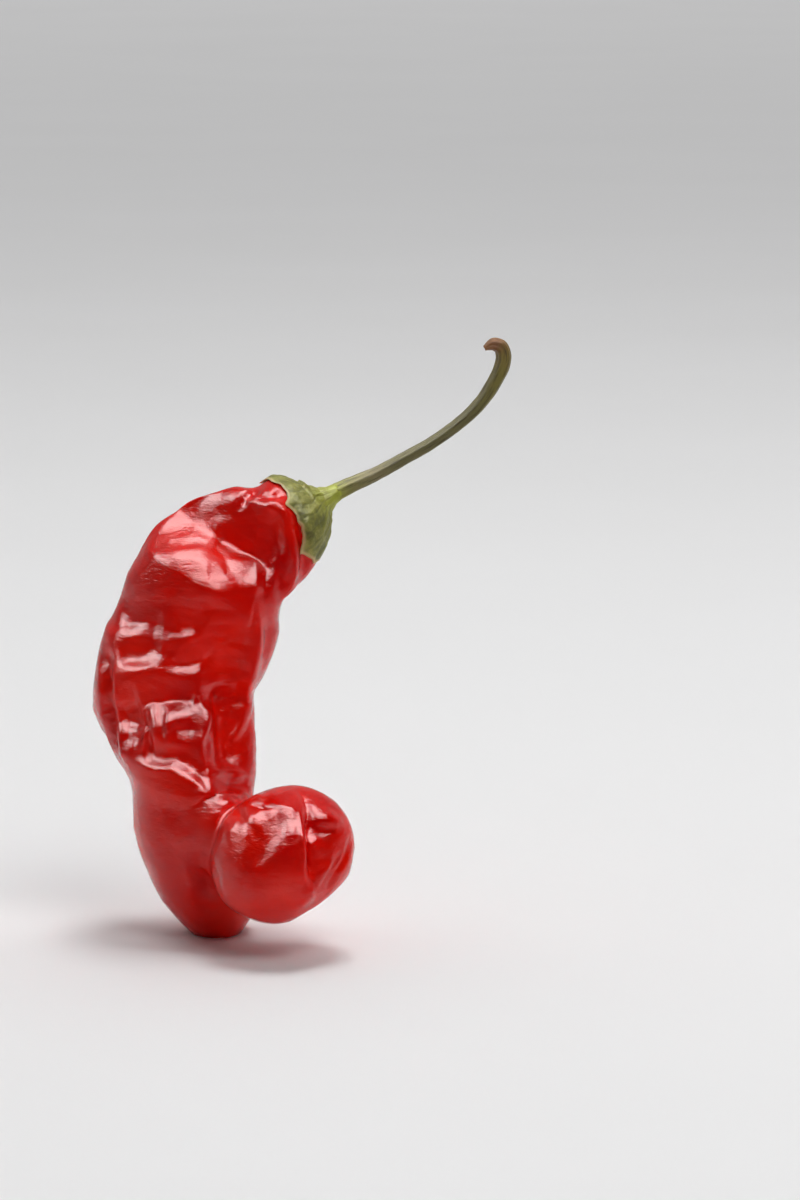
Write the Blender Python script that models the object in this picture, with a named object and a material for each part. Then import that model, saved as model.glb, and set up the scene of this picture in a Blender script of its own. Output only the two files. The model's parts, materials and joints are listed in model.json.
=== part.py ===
"""A wrinkled red chilli pepper that stands on the bend of its tip, with its calyx and stem.

The pod is one solid: a tube that curves down from the calyx, bends at the foot and ends in a round
tip that is held out in front. Its folds are strokes drawn over that body. The calyx is fitted to the
pod's wrinkled shoulder, and the ribbed stem grows out of the calyx.

Metres, +Z up, -Y towards the viewer. The origin is the middle of the flat spot that the pod rests on.
The tables below are millimetres in a drawing frame, where that spot's middle is at FLOOR_POINT.
"""

import math
from enum import Enum
from typing import NamedTuple

import bmesh
import bpy
import numpy as np
from mathutils import Matrix, Vector, noise
from mathutils.bvhtree import BVHTree

MM = 0.001

VIEW_TILT = math.radians(10.0)
SKIN_VOXEL = 0.5
POD_TRIANGLES = 8000
POD_RING_SIDES = 48
TURN_EASING = 7
JOINT_SMOOTHING = 18
FOLD_SMOOTHING = 4
LUMPS = ((0.20, (19.0, 19.0, 13.0), 0.0), (0.04, (9.0, 9.0, 5.5), 3.0))
FLOOR_POINT = Vector((2.8, -0.4, 1.1))

CALYX_GAP = 0.35
CALYX_THICKNESS = 0.9
CALYX_SPOKES = 45
CALYX_RINGS = 12
CALYX_REACH = math.radians(85.0)
STEM_GAP = 0.3
STEM_SIDES = 15
STEM_RIBS = 5
STEM_RIB_SHARE = 0.07
STEM_RINGS = 44


class Station(NamedTuple):
    """A section across a tube: its centre, its half breadth across the picture and its half depth."""

    x: float
    y: float
    z: float
    breadth: float
    depth: float


POD_STATIONS = (
    Station(24.8, 4.6, 93.6, 1.6, 1.6),
    Station(23.3, 4.3, 92.5, 5.2, 5.0),
    Station(20.8, 3.9, 91.5, 8.7, 8.4),
    Station(16.8, 2.8, 88.3, 11.4, 10.8),
    Station(9.9, 1.8, 84.4, 13.2, 12.4),
    Station(3.6, 1.6, 79.2, 16.0, 12.8),
    Station(0.6, 2.0, 73.2, 17.2, 13.2),
    Station(-1.9, 2.4, 66.0, 17.5, 13.9),
    Station(-5.4, 2.6, 58.4, 17.4, 14.7),
    Station(-6.4, 2.6, 52.0, 17.1, 15.4),
    Station(-5.0, 2.0, 46.6, 16.1, 15.6),
    Station(-3.5, 0.9, 40.6, 14.8, 15.4),
    Station(-2.3, -0.6, 35.0, 13.7, 15.2),
    Station(-2.5, -1.6, 29.5, 12.9, 14.6),
    Station(-2.4, -1.9, 23.0, 12.0, 13.9),
    Station(-0.6, -1.3, 16.0, 11.4, 12.6),
    Station(1.1, -0.7, 10.8, 10.4, 11.2),
    Station(2.4, -0.4, 5.8, 8.6, 9.7),
    Station(3.0, -0.2, 2.4, 6.6, 7.8),
    Station(3.3, -0.3, -0.8, 4.0, 5.0),
)

NECK_STATIONS = (
    Station(-7.0, -1.0, 28.5, 10.0, 10.0),
    Station(-2.6, -4.6, 27.2, 11.4, 11.4),
    Station(3.6, -9.4, 24.6, 10.3, 10.6),
    Station(8.4, -13.2, 22.6, 9.0, 9.6),
    Station(12.6, -16.4, 21.8, 9.0, 9.2),
    Station(16.0, -19.0, 21.4, 8.0, 8.0),
)

TIP_CENTRE = (17.2, -20.0, 22.3)
TIP_HALF_SIZE = (15.8, 14.6, 13.8)
TIP_TURN = math.radians(-35.0)


class Side(Enum):
    """The side that a fold is drawn from."""

    FRONT = "front"
    BACK = "back"
    LEFT = "left"
    RIGHT = "right"
    TOP = "top"


class Shape(Enum):
    """The section across a fold: a rounded swell, a sharp-edged slope, a pinched crease or a wall's foot."""

    ROUND = "round"
    EDGE = "edge"
    PINCHED = "pinched"
    WALL = "wall"


class Fold(NamedTuple):
    """A ridge, crease, dent or lobe drawn over the pod as seen from one side.

    The path is (across, up) on that side's picture plane. Across is x from the front and back, and y
    from the left and right. Seen from the top, the path is (x, y). Reach is how far the fold spreads to
    the left of its path, and under how far to the right, or as far if it is None. Rise is its height, or
    depth below 0. A pressed fold moves the skin straight towards or away from the viewer, and any other
    along the skin's normal.
    """

    path: tuple
    reach: float
    rise: float
    under: float | None = None
    shape: Shape = Shape.ROUND
    side: Side = Side.FRONT
    pressed: bool = False


LARGE_FOLDS = (
    Fold(
        ((-8.0, 92.6), (-5.0, 90.8), (-1.8, 88.4), (2.6, 85.6), (7.6, 82.6), (14.0, 78.6), (18.0, 76.4)),
        12.0,
        -6.0,
        10.5,
        Shape.WALL,
        pressed=True,
    ),
    Fold(
        ((-11.0, 82.2), (-6.2, 80.6), (-1.5, 79.8), (1.0, 77.0), (4.1, 73.1), (8.8, 71.4)),
        6.0,
        0.6,
        14.0,
    ),
    Fold(((2.0, 87.0), (5.8, 84.0), (10.1, 81.5), (14.5, 78.0)), 8.0, -1.4, 6.0, Shape.EDGE),
    Fold(((-1.5, 33.4), (1.6, 31.2), (5.0, 29.4), (9.4, 28.8)), 4.6, 2.1, 9.0),
    Fold(((-19.0, 67.0), (-13.5, 67.3), (-9.0, 67.0), (-2.2, 66.2), (1.0, 65.0)), 10.0, -1.0, 4.0),
    Fold(((-19.0, 59.2), (-12.0, 60.6), (-8.0, 61.0), (-3.7, 59.0), (5.0, 59.2)), 8.0, -1.1, 4.4),
    Fold(
        ((-19.5, 48.4), (-12.7, 49.8), (-8.0, 50.6), (-4.5, 51.2), (-1.0, 50.3)),
        9.0,
        -2.6,
        5.0,
        Shape.EDGE,
    ),
    Fold(((-15.0, 44.6), (-9.5, 45.4), (-4.4, 44.6)), 7.0, 1.6),
    Fold(
        ((-15.0, 39.0), (-12.7, 37.6), (-9.7, 36.8), (-5.8, 36.6), (-2.6, 34.8), (0.2, 32.4), (3.2, 29.2)),
        4.0,
        1.6,
        8.0,
        Shape.EDGE,
    ),
    Fold(((5.4, 54.6), (6.6, 49.0), (7.2, 44.0), (7.6, 39.4)), 6.4, -5.6),
    Fold(((27.6, 27.0), (28.4, 21.0), (28.0, 15.0)), 4.6, -1.5),
    Fold(((18.6, 27.6), (14.0, 23.0), (12.0, 15.0)), 4.2, -0.8),
    Fold(((6.4, 26.8), (10.4, 28.8), (15.0, 30.0)), 3.6, -0.9),
    Fold(((-1.0, 20.0), (0.6, 14.0), (1.6, 7.0)), 4.0, -1.5),
    Fold(((12.0, 90.0), (6.0, 85.0), (3.0, 79.0)), 7.0, -2.6, side=Side.BACK),
    Fold(((-6.0, 86.0), (-3.0, 77.0), (4.0, 70.0), (12.0, 66.0)), 5.0, 1.8, side=Side.BACK),
    Fold(((-12.0, 72.0), (-7.0, 64.0), (-6.0, 54.0)), 4.6, -2.4, side=Side.BACK),
    Fold(((2.0, 62.0), (3.0, 55.0), (0.0, 47.0), (-4.0, 40.0)), 6.0, 1.8, side=Side.BACK),
    Fold(((9.0, 54.0), (5.0, 42.0), (5.0, 32.0)), 4.0, -2.2, side=Side.BACK),
    Fold(((-12.0, 42.0), (-8.0, 33.0), (-7.0, 22.0)), 4.4, -1.8, side=Side.BACK),
    Fold(((20.0, 30.0), (16.0, 22.0), (20.0, 14.0)), 4.6, -1.3, side=Side.BACK),
    Fold(((9.0, 82.0), (12.0, 71.0), (8.0, 61.0)), 4.4, -1.6, side=Side.LEFT),
    Fold(((6.0, 51.0), (6.0, 43.0)), 6.0, 1.2, side=Side.LEFT),
    Fold(((7.0, 34.0), (9.0, 25.0), (6.0, 16.0)), 4.4, -1.3, side=Side.LEFT),
    Fold(((10.0, 80.0), (13.0, 70.0), (11.0, 58.0)), 4.2, -1.6, side=Side.RIGHT),
    Fold(((5.0, 44.0), (8.0, 36.0), (5.0, 27.0)), 4.4, -1.5, side=Side.RIGHT),
    Fold(((-27.0, 13.0), (-20.0, 11.4), (-13.0, 13.0)), 7.0, -1.2, side=Side.RIGHT),
    Fold(((-7.0, -1.0), (-1.0, -2.4), (5.0, -3.4), (10.0, -4.0)), 9.0, 1.4, 3.4, side=Side.TOP),
    Fold(((11.5, -9.0), (11.0, 2.0), (12.0, 10.0)), 4.0, -1.2, side=Side.TOP),
)

SMALL_FOLDS = (
    Fold(((7.1, 92.5), (10.5, 92.9), (13.0, 92.0), (16.5, 91.6)), 3.5, 1.2, 4.0, Shape.EDGE),
    Fold(((12.2, 96.0), (9.7, 93.5), (8.0, 91.8)), 1.5, -1.2),
    Fold(((11.4, 94.4), (14.5, 93.6), (17.6, 94.6)), 1.4, -0.8),
    Fold(
        ((-8.0, 87.3), (-2.4, 84.7), (1.1, 85.1), (5.8, 83.0), (7.5, 77.2), (9.7, 75.3)),
        3.5,
        0.4,
        2.2,
        Shape.EDGE,
    ),
    Fold(
        ((-8.4, 83.5), (-3.7, 83.6), (0.6, 83.9), (4.7, 81.5), (5.8, 78.0), (8.8, 74.6), (11.8, 72.9)),
        1.4,
        -0.5,
        1.6,
    ),
    Fold(
        ((-9.9, 81.9), (-6.2, 80.6), (-1.5, 80.0), (0.6, 78.7), (1.3, 75.5), (4.1, 73.1), (8.8, 71.4)),
        3.4,
        1.2,
        7.0,
        Shape.EDGE,
    ),
    Fold(
        ((16.1, 91.8), (17.4, 89.7), (18.2, 86.0), (18.9, 83.2), (19.6, 79.0), (17.8, 74.2), (17.0, 71.2)),
        2.6,
        1.6,
        2.6,
        Shape.EDGE,
    ),
    Fold(((15.6, 79.5), (14.9, 76.0), (14.6, 72.5), (16.6, 70.3)), 1.8, 0.8),
    Fold(((19.8, 91.0), (20.9, 86.6), (21.6, 81.5), (20.6, 76.8)), 1.8, -1.2),
    Fold(
        ((11.8, 68.6), (12.0, 65.6), (11.4, 61.3), (10.5, 57.0), (8.8, 50.5), (7.0, 44.0)),
        2.2,
        1.4,
        2.4,
        Shape.EDGE,
    ),
    Fold(((13.8, 67.0), (14.3, 63.5), (13.2, 59.0)), 1.8, -0.9),
    Fold(((-18.2, 66.6), (-13.5, 67.3), (-7.6, 66.7)), 8.0, -1.1, 3.2, Shape.EDGE),
    Fold(((-15.6, 63.0), (-12.0, 63.1)), 2.0, -0.25, 1.2),
    Fold(((-4.8, 65.2), (-2.2, 66.2), (0.6, 64.9)), 7.0, -1.0, 2.2, Shape.EDGE),
    Fold(((-12.7, 59.4), (-9.7, 61.1), (-7.5, 62.2), (-4.3, 63.8), (0.6, 64.1)), 1.2, 0.45),
    Fold(((-18.8, 59.0), (-16.4, 59.9), (-14.0, 59.9)), 5.0, -1.2, 3.2, Shape.EDGE),
    Fold(((-12.4, 60.8), (-10.2, 61.8), (-8.0, 62.6), (-5.6, 60.2)), 4.0, -1.0, 2.4, Shape.EDGE),
    Fold(((-8.0, 58.2), (-3.7, 58.3), (0.2, 58.9), (5.0, 59.0)), 6.0, -1.1, 2.2, Shape.EDGE),
    Fold(((6.5, 62.7), (10.1, 62.2)), 3.0, -0.6, 1.2),
    Fold(((-0.2, 69.9), (3.4, 70.0), (6.7, 69.6)), 3.5, -0.7, 1.6),
    Fold(((-20.6, 60.0), (-20.4, 52.7), (-20.2, 46.2), (-19.4, 41.5), (-18.0, 37.6)), 1.8, -2.0),
    Fold(((-18.4, 48.5), (-15.0, 49.2), (-12.7, 49.6)), 6.0, -0.9, 2.6, Shape.EDGE),
    Fold(((-8.2, 50.4), (-4.5, 51.1), (-1.0, 50.1)), 6.0, -1.0, 2.8, Shape.EDGE),
    Fold(((-17.4, 45.0), (-14.8, 45.4), (-12.6, 44.8)), 2.6, -1.9, 6.0, Shape.EDGE),
    Fold(((-6.2, 44.7), (-3.5, 44.8), (-1.4, 44.6)), 2.6, -0.8, 3.2, Shape.EDGE),
    Fold(((-12.0, 49.0), (-11.8, 44.0), (-11.0, 38.6)), 1.3, -0.9),
    Fold(((-8.6, 49.6), (-8.4, 45.0), (-8.0, 42.4)), 1.3, -0.9),
    Fold(
        ((-14.0, 42.0), (-9.7, 38.8), (-5.8, 38.8), (-2.8, 37.5), (0.2, 35.3), (1.6, 32.8), (3.2, 30.6)),
        3.5,
        -1.0,
        2.6,
        Shape.EDGE,
    ),
    Fold(
        ((-0.4, 50.6), (1.0, 47.5), (0.5, 44.1), (-0.2, 42.4), (0.2, 38.5), (1.6, 35.9)),
        1.6,
        1.6,
        3.0,
        Shape.EDGE,
    ),
    Fold(((10.1, 50.5), (8.4, 46.0), (5.8, 41.2)), 1.2, 0.5),
    Fold(((1.6, 35.6), (4.9, 35.8), (7.5, 35.1), (9.6, 34.0)), 1.3, 0.9),
    Fold(((5.2, 33.6), (7.6, 33.0), (10.2, 33.2)), 2.2, -1.0),
    Fold(((3.6, 29.8), (5.4, 29.1), (7.5, 28.9), (10.1, 29.2), (12.0, 30.5)), 1.6, 0.6),
    Fold(
        ((21.3, 31.8), (22.8, 28.6), (23.4, 22.6), (23.6, 16.1), (23.9, 12.8)),
        4.4,
        -3.2,
        1.7,
        Shape.PINCHED,
    ),
    Fold(((21.6, 24.8), (22.3, 19.1), (22.9, 15.3)), 1.1, 0.7),
    Fold(((7.2, 22.6), (8.6, 25.6), (11.4, 28.4), (14.8, 30.2)), 3.0, 0.9, 2.4),
    Fold(((12.4, 31.0), (14.0, 27.0), (15.0, 22.0)), 3.6, -0.6),
    Fold(((21.9, 31.0), (24.7, 27.7), (28.2, 25.2), (28.8, 22.8)), 2.4, 1.0, 2.2),
    Fold(((23.6, 26.6), (26.0, 22.4)), 2.0, -0.9),
    Fold(((31.6, 22.0), (30.6, 18.0), (28.6, 15.0), (26.4, 10.5)), 0.9, -0.8),
    Fold(((29.6, 19.0), (27.8, 15.6), (25.8, 11.6)), 0.8, -0.6),
    Fold(((23.9, 12.4), (22.4, 10.0), (20.4, 8.2)), 2.0, 0.6),
    Fold(((-13.0, 82.0), (-4.0, 82.0), (4.0, 77.0), (9.0, 76.0)), 2.2, 1.3, side=Side.BACK),
    Fold(((-13.0, 79.0), (-4.0, 78.6), (3.0, 73.6)), 1.8, -1.4, side=Side.BACK),
    Fold(((16.0, 88.0), (14.0, 80.0), (16.0, 73.0)), 2.0, 1.4, side=Side.BACK),
    Fold(((-15.0, 66.0), (-7.0, 68.0), (1.0, 65.0), (6.0, 66.5)), 2.0, 1.2, side=Side.BACK),
    Fold(((-3.0, 60.0), (4.0, 58.5), (9.0, 61.0)), 1.8, -1.2, side=Side.BACK),
    Fold(((-19.0, 57.0), (-12.0, 54.0), (-5.0, 56.0)), 2.0, -1.3, side=Side.BACK),
    Fold(((-19.0, 53.0), (-11.0, 50.6), (-4.0, 51.6), (3.0, 49.0)), 2.1, 1.3, side=Side.BACK),
    Fold(((-3.0, 44.0), (2.0, 39.0), (1.0, 33.0), (4.0, 27.0)), 2.2, 1.4, side=Side.BACK),
    Fold(((-14.0, 38.0), (-7.0, 39.0), (-1.0, 36.0)), 2.0, -1.3, side=Side.BACK),
    Fold(((-12.0, 28.0), (-5.0, 25.6), (2.0, 27.0), (8.0, 24.0)), 2.0, 1.1, side=Side.BACK),
    Fold(((-6.0, 18.0), (0.0, 15.0), (6.0, 16.0)), 2.2, -1.1, side=Side.BACK),
    Fold(((26.0, 14.0), (21.0, 19.0), (18.0, 27.0)), 2.0, -1.1, side=Side.BACK),
    Fold(((8.0, 72.0), (11.0, 69.0), (16.0, 69.0)), 2.0, -1.0, side=Side.LEFT),
    Fold(((8.0, 56.0), (11.0, 58.0), (16.0, 56.0)), 2.1, 0.9, side=Side.LEFT),
    Fold(((6.0, 32.0), (9.0, 29.0), (13.0, 31.0)), 2.1, 0.8, side=Side.LEFT),
    Fold(((9.0, 74.0), (12.0, 72.0), (16.0, 75.0)), 2.2, 1.0, side=Side.RIGHT),
    Fold(((8.0, 63.0), (12.0, 60.0), (16.0, 63.0)), 2.2, -1.0, side=Side.RIGHT),
    Fold(((7.5, 49.0), (10.0, 49.0), (14.0, 52.0)), 2.0, 0.9, side=Side.RIGHT),
    Fold(((-16.0, 33.0), (-17.0, 25.0), (-14.0, 15.0)), 1.7, -1.0, side=Side.RIGHT),
)

CALYX_AXIS = Vector((0.84, 0.20, 0.50)).normalized()
CALYX_HEART = Vector((19.2, 3.9, 89.9))
FLARE = ((11.6, 1.8), (9.6, 2.1), (7.8, 3.0), (6.4, 4.6), (5.4, 6.4))
CALYX_RIM = (
    (0.0, 99.0),
    (30.0, 87.0),
    (60.0, 88.0),
    (90.0, 92.0),
    (120.0, 104.0),
    (150.0, 100.0),
    (180.0, 84.0),
    (225.0, 80.0),
    (270.0, 80.0),
    (315.0, 90.0),
)
CALYX_WAVES = ((6, 0.035, 0.4), (11, 0.020, 2.1), (17, 0.012, 0.9))

STEM_PATH = (
    (32.2, 7.2, 97.0, 1.62),
    (37.0, 8.4, 99.0, 1.42),
    (42.5, 9.2, 101.9, 1.32),
    (49.0, 9.4, 105.6, 1.28),
    (55.4, 9.0, 110.4, 1.30),
    (59.4, 8.4, 114.6, 1.38),
    (62.4, 7.8, 119.4, 1.50),
    (63.9, 7.4, 123.4, 1.56),
    (63.4, 7.2, 126.2, 1.50),
    (61.6, 7.0, 126.9, 1.30),
    (59.8, 6.9, 126.1, 0.50),
)


def smooth_line(points: np.ndarray, count: int) -> np.ndarray:
    """Reads count points, evenly spaced by length, from a smooth curve through the given points."""
    ends = np.vstack([2 * points[0] - points[1], points, 2 * points[-1] - points[-2]])
    fine = []
    steps = np.linspace(0.0, 1.0, 24, endpoint=False)[:, None]
    for before, start, end, after in zip(ends, ends[1:], ends[2:], ends[3:]):
        fine.append(
            start
            + steps * 0.5 * (end - before)
            + steps**2 * (before - 2.5 * start + 2.0 * end - 0.5 * after)
            + steps**3 * (1.5 * (start - end) + 0.5 * (after - before))
        )
    line = np.vstack([*fine, points[-1:]])
    lengths = np.linalg.norm(np.diff(line[:, :3], axis=0), axis=1)
    along = np.concatenate([[0.0], np.cumsum(lengths)])
    wanted = np.linspace(0.0, along[-1], count)
    return np.column_stack([np.interp(wanted, along, column) for column in line.T])


def add_tube(
    shape: bmesh.types.BMesh,
    sections: np.ndarray,
    sides: int,
    easing: int = 1,
    ribs: int = 0,
    rib_share: float = 0.0,
) -> None:
    """Adds a closed tube through sections of (x, y, z, half breadth, half depth), with optional ribs.

    Each ring faces the mean direction of its neighbours within easing, so none cross inside a bend.
    """
    padded = np.pad(np.gradient(sections[:, :3], axis=0), ((easing, easing), (0, 0)), mode="edge")
    heading = [padded[row : row + 2 * easing + 1].mean(0) for row in range(len(sections))]
    rings = []
    for row, ahead in zip(sections, heading):
        ahead = Vector(ahead).normalized()
        across = ahead.cross(Vector((0.0, 1.0, 0.0))).normalized()
        inward = across.cross(ahead).normalized()
        ring = []
        for side in range(sides):
            turn = 2.0 * math.pi * side / sides
            swell = 1.0 + rib_share * math.cos(ribs * turn)
            offset = across * (row[3] * swell * math.cos(turn)) + inward * (row[4] * swell * math.sin(turn))
            ring.append(shape.verts.new(Vector(row[:3]) + offset))
        rings.append(ring)
    for lower, upper in zip(rings, rings[1:]):
        for side in range(sides):
            following = (side + 1) % sides
            shape.faces.new((lower[side], lower[following], upper[following], upper[side]))
    shape.faces.new(list(reversed(rings[0])))
    shape.faces.new(rings[-1])
    bmesh.ops.recalc_face_normals(shape, faces=shape.faces)


def mesh_of(shape: bmesh.types.BMesh, name: str) -> bpy.types.Mesh:
    """Turns a bmesh into a mesh and frees it."""
    mesh = bpy.data.meshes.new(name)
    shape.to_mesh(mesh)
    shape.free()
    return mesh


def modified(mesh: bpy.types.Mesh, kind: str, **settings) -> bpy.types.Mesh:
    """Returns a new mesh: the given one with one modifier applied."""
    helper = bpy.data.objects.new("helper", mesh)
    bpy.context.scene.collection.objects.link(helper)
    modifier = helper.modifiers.new(kind.title(), kind)
    for setting, value in settings.items():
        setattr(modifier, setting, value)
    graph = bpy.context.evaluated_depsgraph_get()
    result = bpy.data.meshes.new_from_object(helper.evaluated_get(graph))
    bpy.data.objects.remove(helper)
    return result


def smoothed(mesh: bpy.types.Mesh, rounds: int) -> bpy.types.Mesh:
    """Returns the mesh with its vertices evened out."""
    return modified(mesh, "SMOOTH", factor=0.5, iterations=rounds)


def picture_plane(side: Side) -> tuple[Vector, Vector, Vector]:
    """Gives the across, up and towards-the-viewer directions of one side's picture plane."""
    if side is Side.FRONT:
        up = Vector((0.0, math.sin(VIEW_TILT), math.cos(VIEW_TILT)))
        return Vector((1.0, 0.0, 0.0)), up, Vector((0.0, -math.cos(VIEW_TILT), math.sin(VIEW_TILT)))
    if side is Side.TOP:
        return Vector((1.0, 0.0, 0.0)), Vector((0.0, 1.0, 0.0)), Vector((0.0, 0.0, 1.0))
    facing = {Side.BACK: (0.0, 1.0, 0.0), Side.LEFT: (-1.0, 0.0, 0.0), Side.RIGHT: (1.0, 0.0, 0.0)}[side]
    across = (1.0, 0.0, 0.0) if side is Side.BACK else (0.0, 1.0, 0.0)
    return Vector(across), Vector((0.0, 0.0, 1.0)), Vector(facing)


def eased(value: np.ndarray) -> np.ndarray:
    """Eases a value from 0 to 1 with flat ends."""
    value = np.clip(value, 0.0, 1.0)
    return value * value * (3.0 - 2.0 * value)


def fold_shift(fold: Fold, points: np.ndarray, normals: np.ndarray) -> tuple[np.ndarray, np.ndarray]:
    """Works out which points one fold moves, and how far it moves each of them."""
    across, up, facing = (np.array(axis) for axis in picture_plane(fold.side))
    weight = eased((normals @ facing) / 0.6)
    flat = np.column_stack([points @ across, points @ up])
    line = smooth_line(np.array(fold.path, float), 8 * len(fold.path))
    under = fold.reach if fold.under is None else fold.under
    low, high = line.min(0) - max(fold.reach, under), line.max(0) + max(fold.reach, under)
    near = np.nonzero((weight > 0.0) & (flat >= low).all(1) & (flat <= high).all(1))[0]
    spans = np.diff(line, axis=0)
    offsets = flat[near][:, None] - line[:-1]
    share = np.clip((offsets * spans).sum(2) / (spans**2).sum(1), 0.0, 1.0)
    gaps = np.linalg.norm(offsets - share[..., None] * spans, axis=2)
    nearest = gaps.argmin(1)
    rows = np.arange(len(near))
    span, offset = spans[nearest], offsets[rows, nearest]
    left = span[:, 0] * offset[:, 1] - span[:, 1] * offset[:, 0] > 0.0
    gap = np.clip(gaps[rows, nearest] / np.where(left, fold.reach, under), 0.0, 1.0)
    along = (nearest + share[rows, nearest]) / len(spans)
    section = {
        Shape.ROUND: (1.0 - gap**2) ** 2,
        Shape.EDGE: (1.0 - gap) ** 1.25,
        Shape.PINCHED: (1.0 - gap) ** 1.6,
        Shape.WALL: np.where(left, 1.0 - gap**2, 1.0 - gap),
    }[fold.shape]
    ends = 0.35 + 0.65 * eased(along / 0.25) * eased((1.0 - along) / 0.25)
    height = fold.rise * section * ends * weight[near]
    return near, height[:, None] * (facing if fold.pressed else normals[near])


def lump_lift(point: Vector) -> float:
    """Works out a gentle unevenness, the same each time, that keeps the skin from looking turned."""
    lift = 0.0
    for size, (x, y, z), offset in LUMPS:
        place = Vector((point.x / x, point.y / y, point.z / z + offset))
        lift += size * (1.0 - 4.0 * abs(noise.noise(place)))
    return lift


def folded(mesh: bpy.types.Mesh, folds: tuple, lumpy: bool = False) -> None:
    """Raises and sinks the mesh's vertices by every fold, in place."""
    count = len(mesh.vertices)
    points = np.empty(count * 3)
    normals = np.empty(count * 3)
    mesh.vertices.foreach_get("co", points)
    mesh.vertex_normals.foreach_get("vector", normals)
    points = points.reshape(-1, 3)
    normals = normals.reshape(-1, 3)
    moved = points.copy()
    for fold in folds:
        near, shift = fold_shift(fold, points, normals)
        moved[near] += shift
    if lumpy:
        moved += np.array([lump_lift(Vector(point)) for point in points])[:, None] * normals
    mesh.vertices.foreach_set("co", moved.ravel())
    mesh.update()


def pod_mesh() -> bpy.types.Mesh:
    """Builds the pod in millimetres: tube, neck and tip made one skin, folded, and cut flat at the foot."""
    shape = bmesh.new()
    add_tube(shape, smooth_line(np.array(POD_STATIONS), 90), POD_RING_SIDES, TURN_EASING)
    add_tube(shape, smooth_line(np.array(NECK_STATIONS), 24), POD_RING_SIDES)
    tip = Matrix.Translation(TIP_CENTRE) @ Matrix.Rotation(TIP_TURN, 4, "Y")
    tip = tip @ Matrix.Diagonal((*TIP_HALF_SIZE, 1.0))
    bmesh.ops.create_uvsphere(shape, u_segments=48, v_segments=24, radius=1.0, matrix=tip)
    skin = modified(mesh_of(shape, "pod"), "REMESH", mode="VOXEL", voxel_size=SKIN_VOXEL)
    skin = smoothed(skin, JOINT_SMOOTHING)
    folded(skin, LARGE_FOLDS, lumpy=True)
    skin = smoothed(skin, FOLD_SMOOTHING)
    folded(skin, SMALL_FOLDS)
    skin = smoothed(skin, 3)
    skin.calc_loop_triangles()
    skin = modified(skin, "DECIMATE", ratio=POD_TRIANGLES / len(skin.loop_triangles))
    shape = bmesh.new()
    shape.from_mesh(skin)
    everything = [*shape.verts, *shape.edges, *shape.faces]
    cut = bmesh.ops.bisect_plane(
        shape, geom=everything, plane_co=FLOOR_POINT, plane_no=(0.0, 0.0, -1.0), clear_outer=True
    )
    rim = [item for item in cut["geom_cut"] if isinstance(item, bmesh.types.BMEdge)]
    bmesh.ops.edgeloop_fill(shape, edges=rim)
    bmesh.ops.recalc_face_normals(shape, faces=shape.faces)
    return mesh_of(shape, "pod")


def calyx_axes() -> tuple[Vector, Vector]:
    """Gives two directions across the calyx, the first in the picture plane."""
    first = CALYX_AXIS.cross(Vector((0.0, 1.0, 0.0))).normalized()
    return first, CALYX_AXIS.cross(first).normalized()


def calyx_mesh(pod: bpy.types.Mesh) -> bpy.types.Mesh:
    """Builds the calyx in millimetres: a lobed cap laid over the pod's shoulder, flared to meet the stem."""
    shoulder = bmesh.new()
    shoulder.from_mesh(pod)
    surface = BVHTree.FromBMesh(shoulder)
    shoulder.free()
    flare_turns = [math.atan2(radius, along) for along, radius in FLARE]
    flare_reach = [math.hypot(radius, along) for along, radius in FLARE]
    rim_turns, rim_tilts = zip(*CALYX_RIM)
    end_along = FLARE[0][0]
    first, second = calyx_axes()
    shape = bmesh.new()
    layers = ([], [])
    for ring in range(1, CALYX_RINGS + 1):
        share = ring / CALYX_RINGS
        rows = ([], [])
        for spoke in range(CALYX_SPOKES):
            turn = 2.0 * math.pi * spoke / CALYX_SPOKES
            edge = math.radians(float(np.interp(math.degrees(turn), rim_turns, rim_tilts, period=360.0)))
            wave = sum(size * math.sin(count * turn + phase) for count, size, phase in CALYX_WAVES)
            tilt = share * (CALYX_REACH + (edge - CALYX_REACH + CALYX_REACH * wave) * share**3)
            outward = first * math.cos(turn) + second * math.sin(turn)
            ray = CALYX_AXIS * math.cos(tilt) + outward * math.sin(tilt)
            hit, _, _, _ = surface.ray_cast(CALYX_HEART + ray * 40.0, -ray)
            under = (hit - CALYX_HEART).length + CALYX_GAP
            if tilt < flare_turns[0]:
                flare = end_along / math.cos(tilt)
            else:
                flare = float(np.interp(tilt, flare_turns, flare_reach, right=0.0))
            thickness = CALYX_THICKNESS * (1.0 - 0.45 * share**4)
            over = max(under + thickness, flare)
            for row, reach in zip(rows, (under, over)):
                row.append(shape.verts.new(CALYX_HEART + ray * reach))
        for layer, row in zip(layers, rows):
            layer.append(row)
    for layer, reach in zip(layers, (None, end_along)):
        if reach is None:
            hit, _, _, _ = surface.ray_cast(CALYX_HEART + CALYX_AXIS * 40.0, -CALYX_AXIS)
            reach = (hit - CALYX_HEART).length + CALYX_GAP
        pole = shape.verts.new(CALYX_HEART + CALYX_AXIS * reach)
        for spoke in range(CALYX_SPOKES):
            shape.faces.new((pole, layer[0][spoke], layer[0][spoke - 1]))
        for lower, upper in zip(layer, layer[1:]):
            for spoke in range(CALYX_SPOKES):
                shape.faces.new((lower[spoke - 1], lower[spoke], upper[spoke], upper[spoke - 1]))
    inner_rim, outer_rim = layers[0][-1], layers[1][-1]
    for spoke in range(CALYX_SPOKES):
        shape.faces.new((inner_rim[spoke - 1], inner_rim[spoke], outer_rim[spoke], outer_rim[spoke - 1]))
    bmesh.ops.triangulate(shape, faces=shape.faces)
    bmesh.ops.recalc_face_normals(shape, faces=shape.faces)
    return mesh_of(shape, "calyx")


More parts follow.
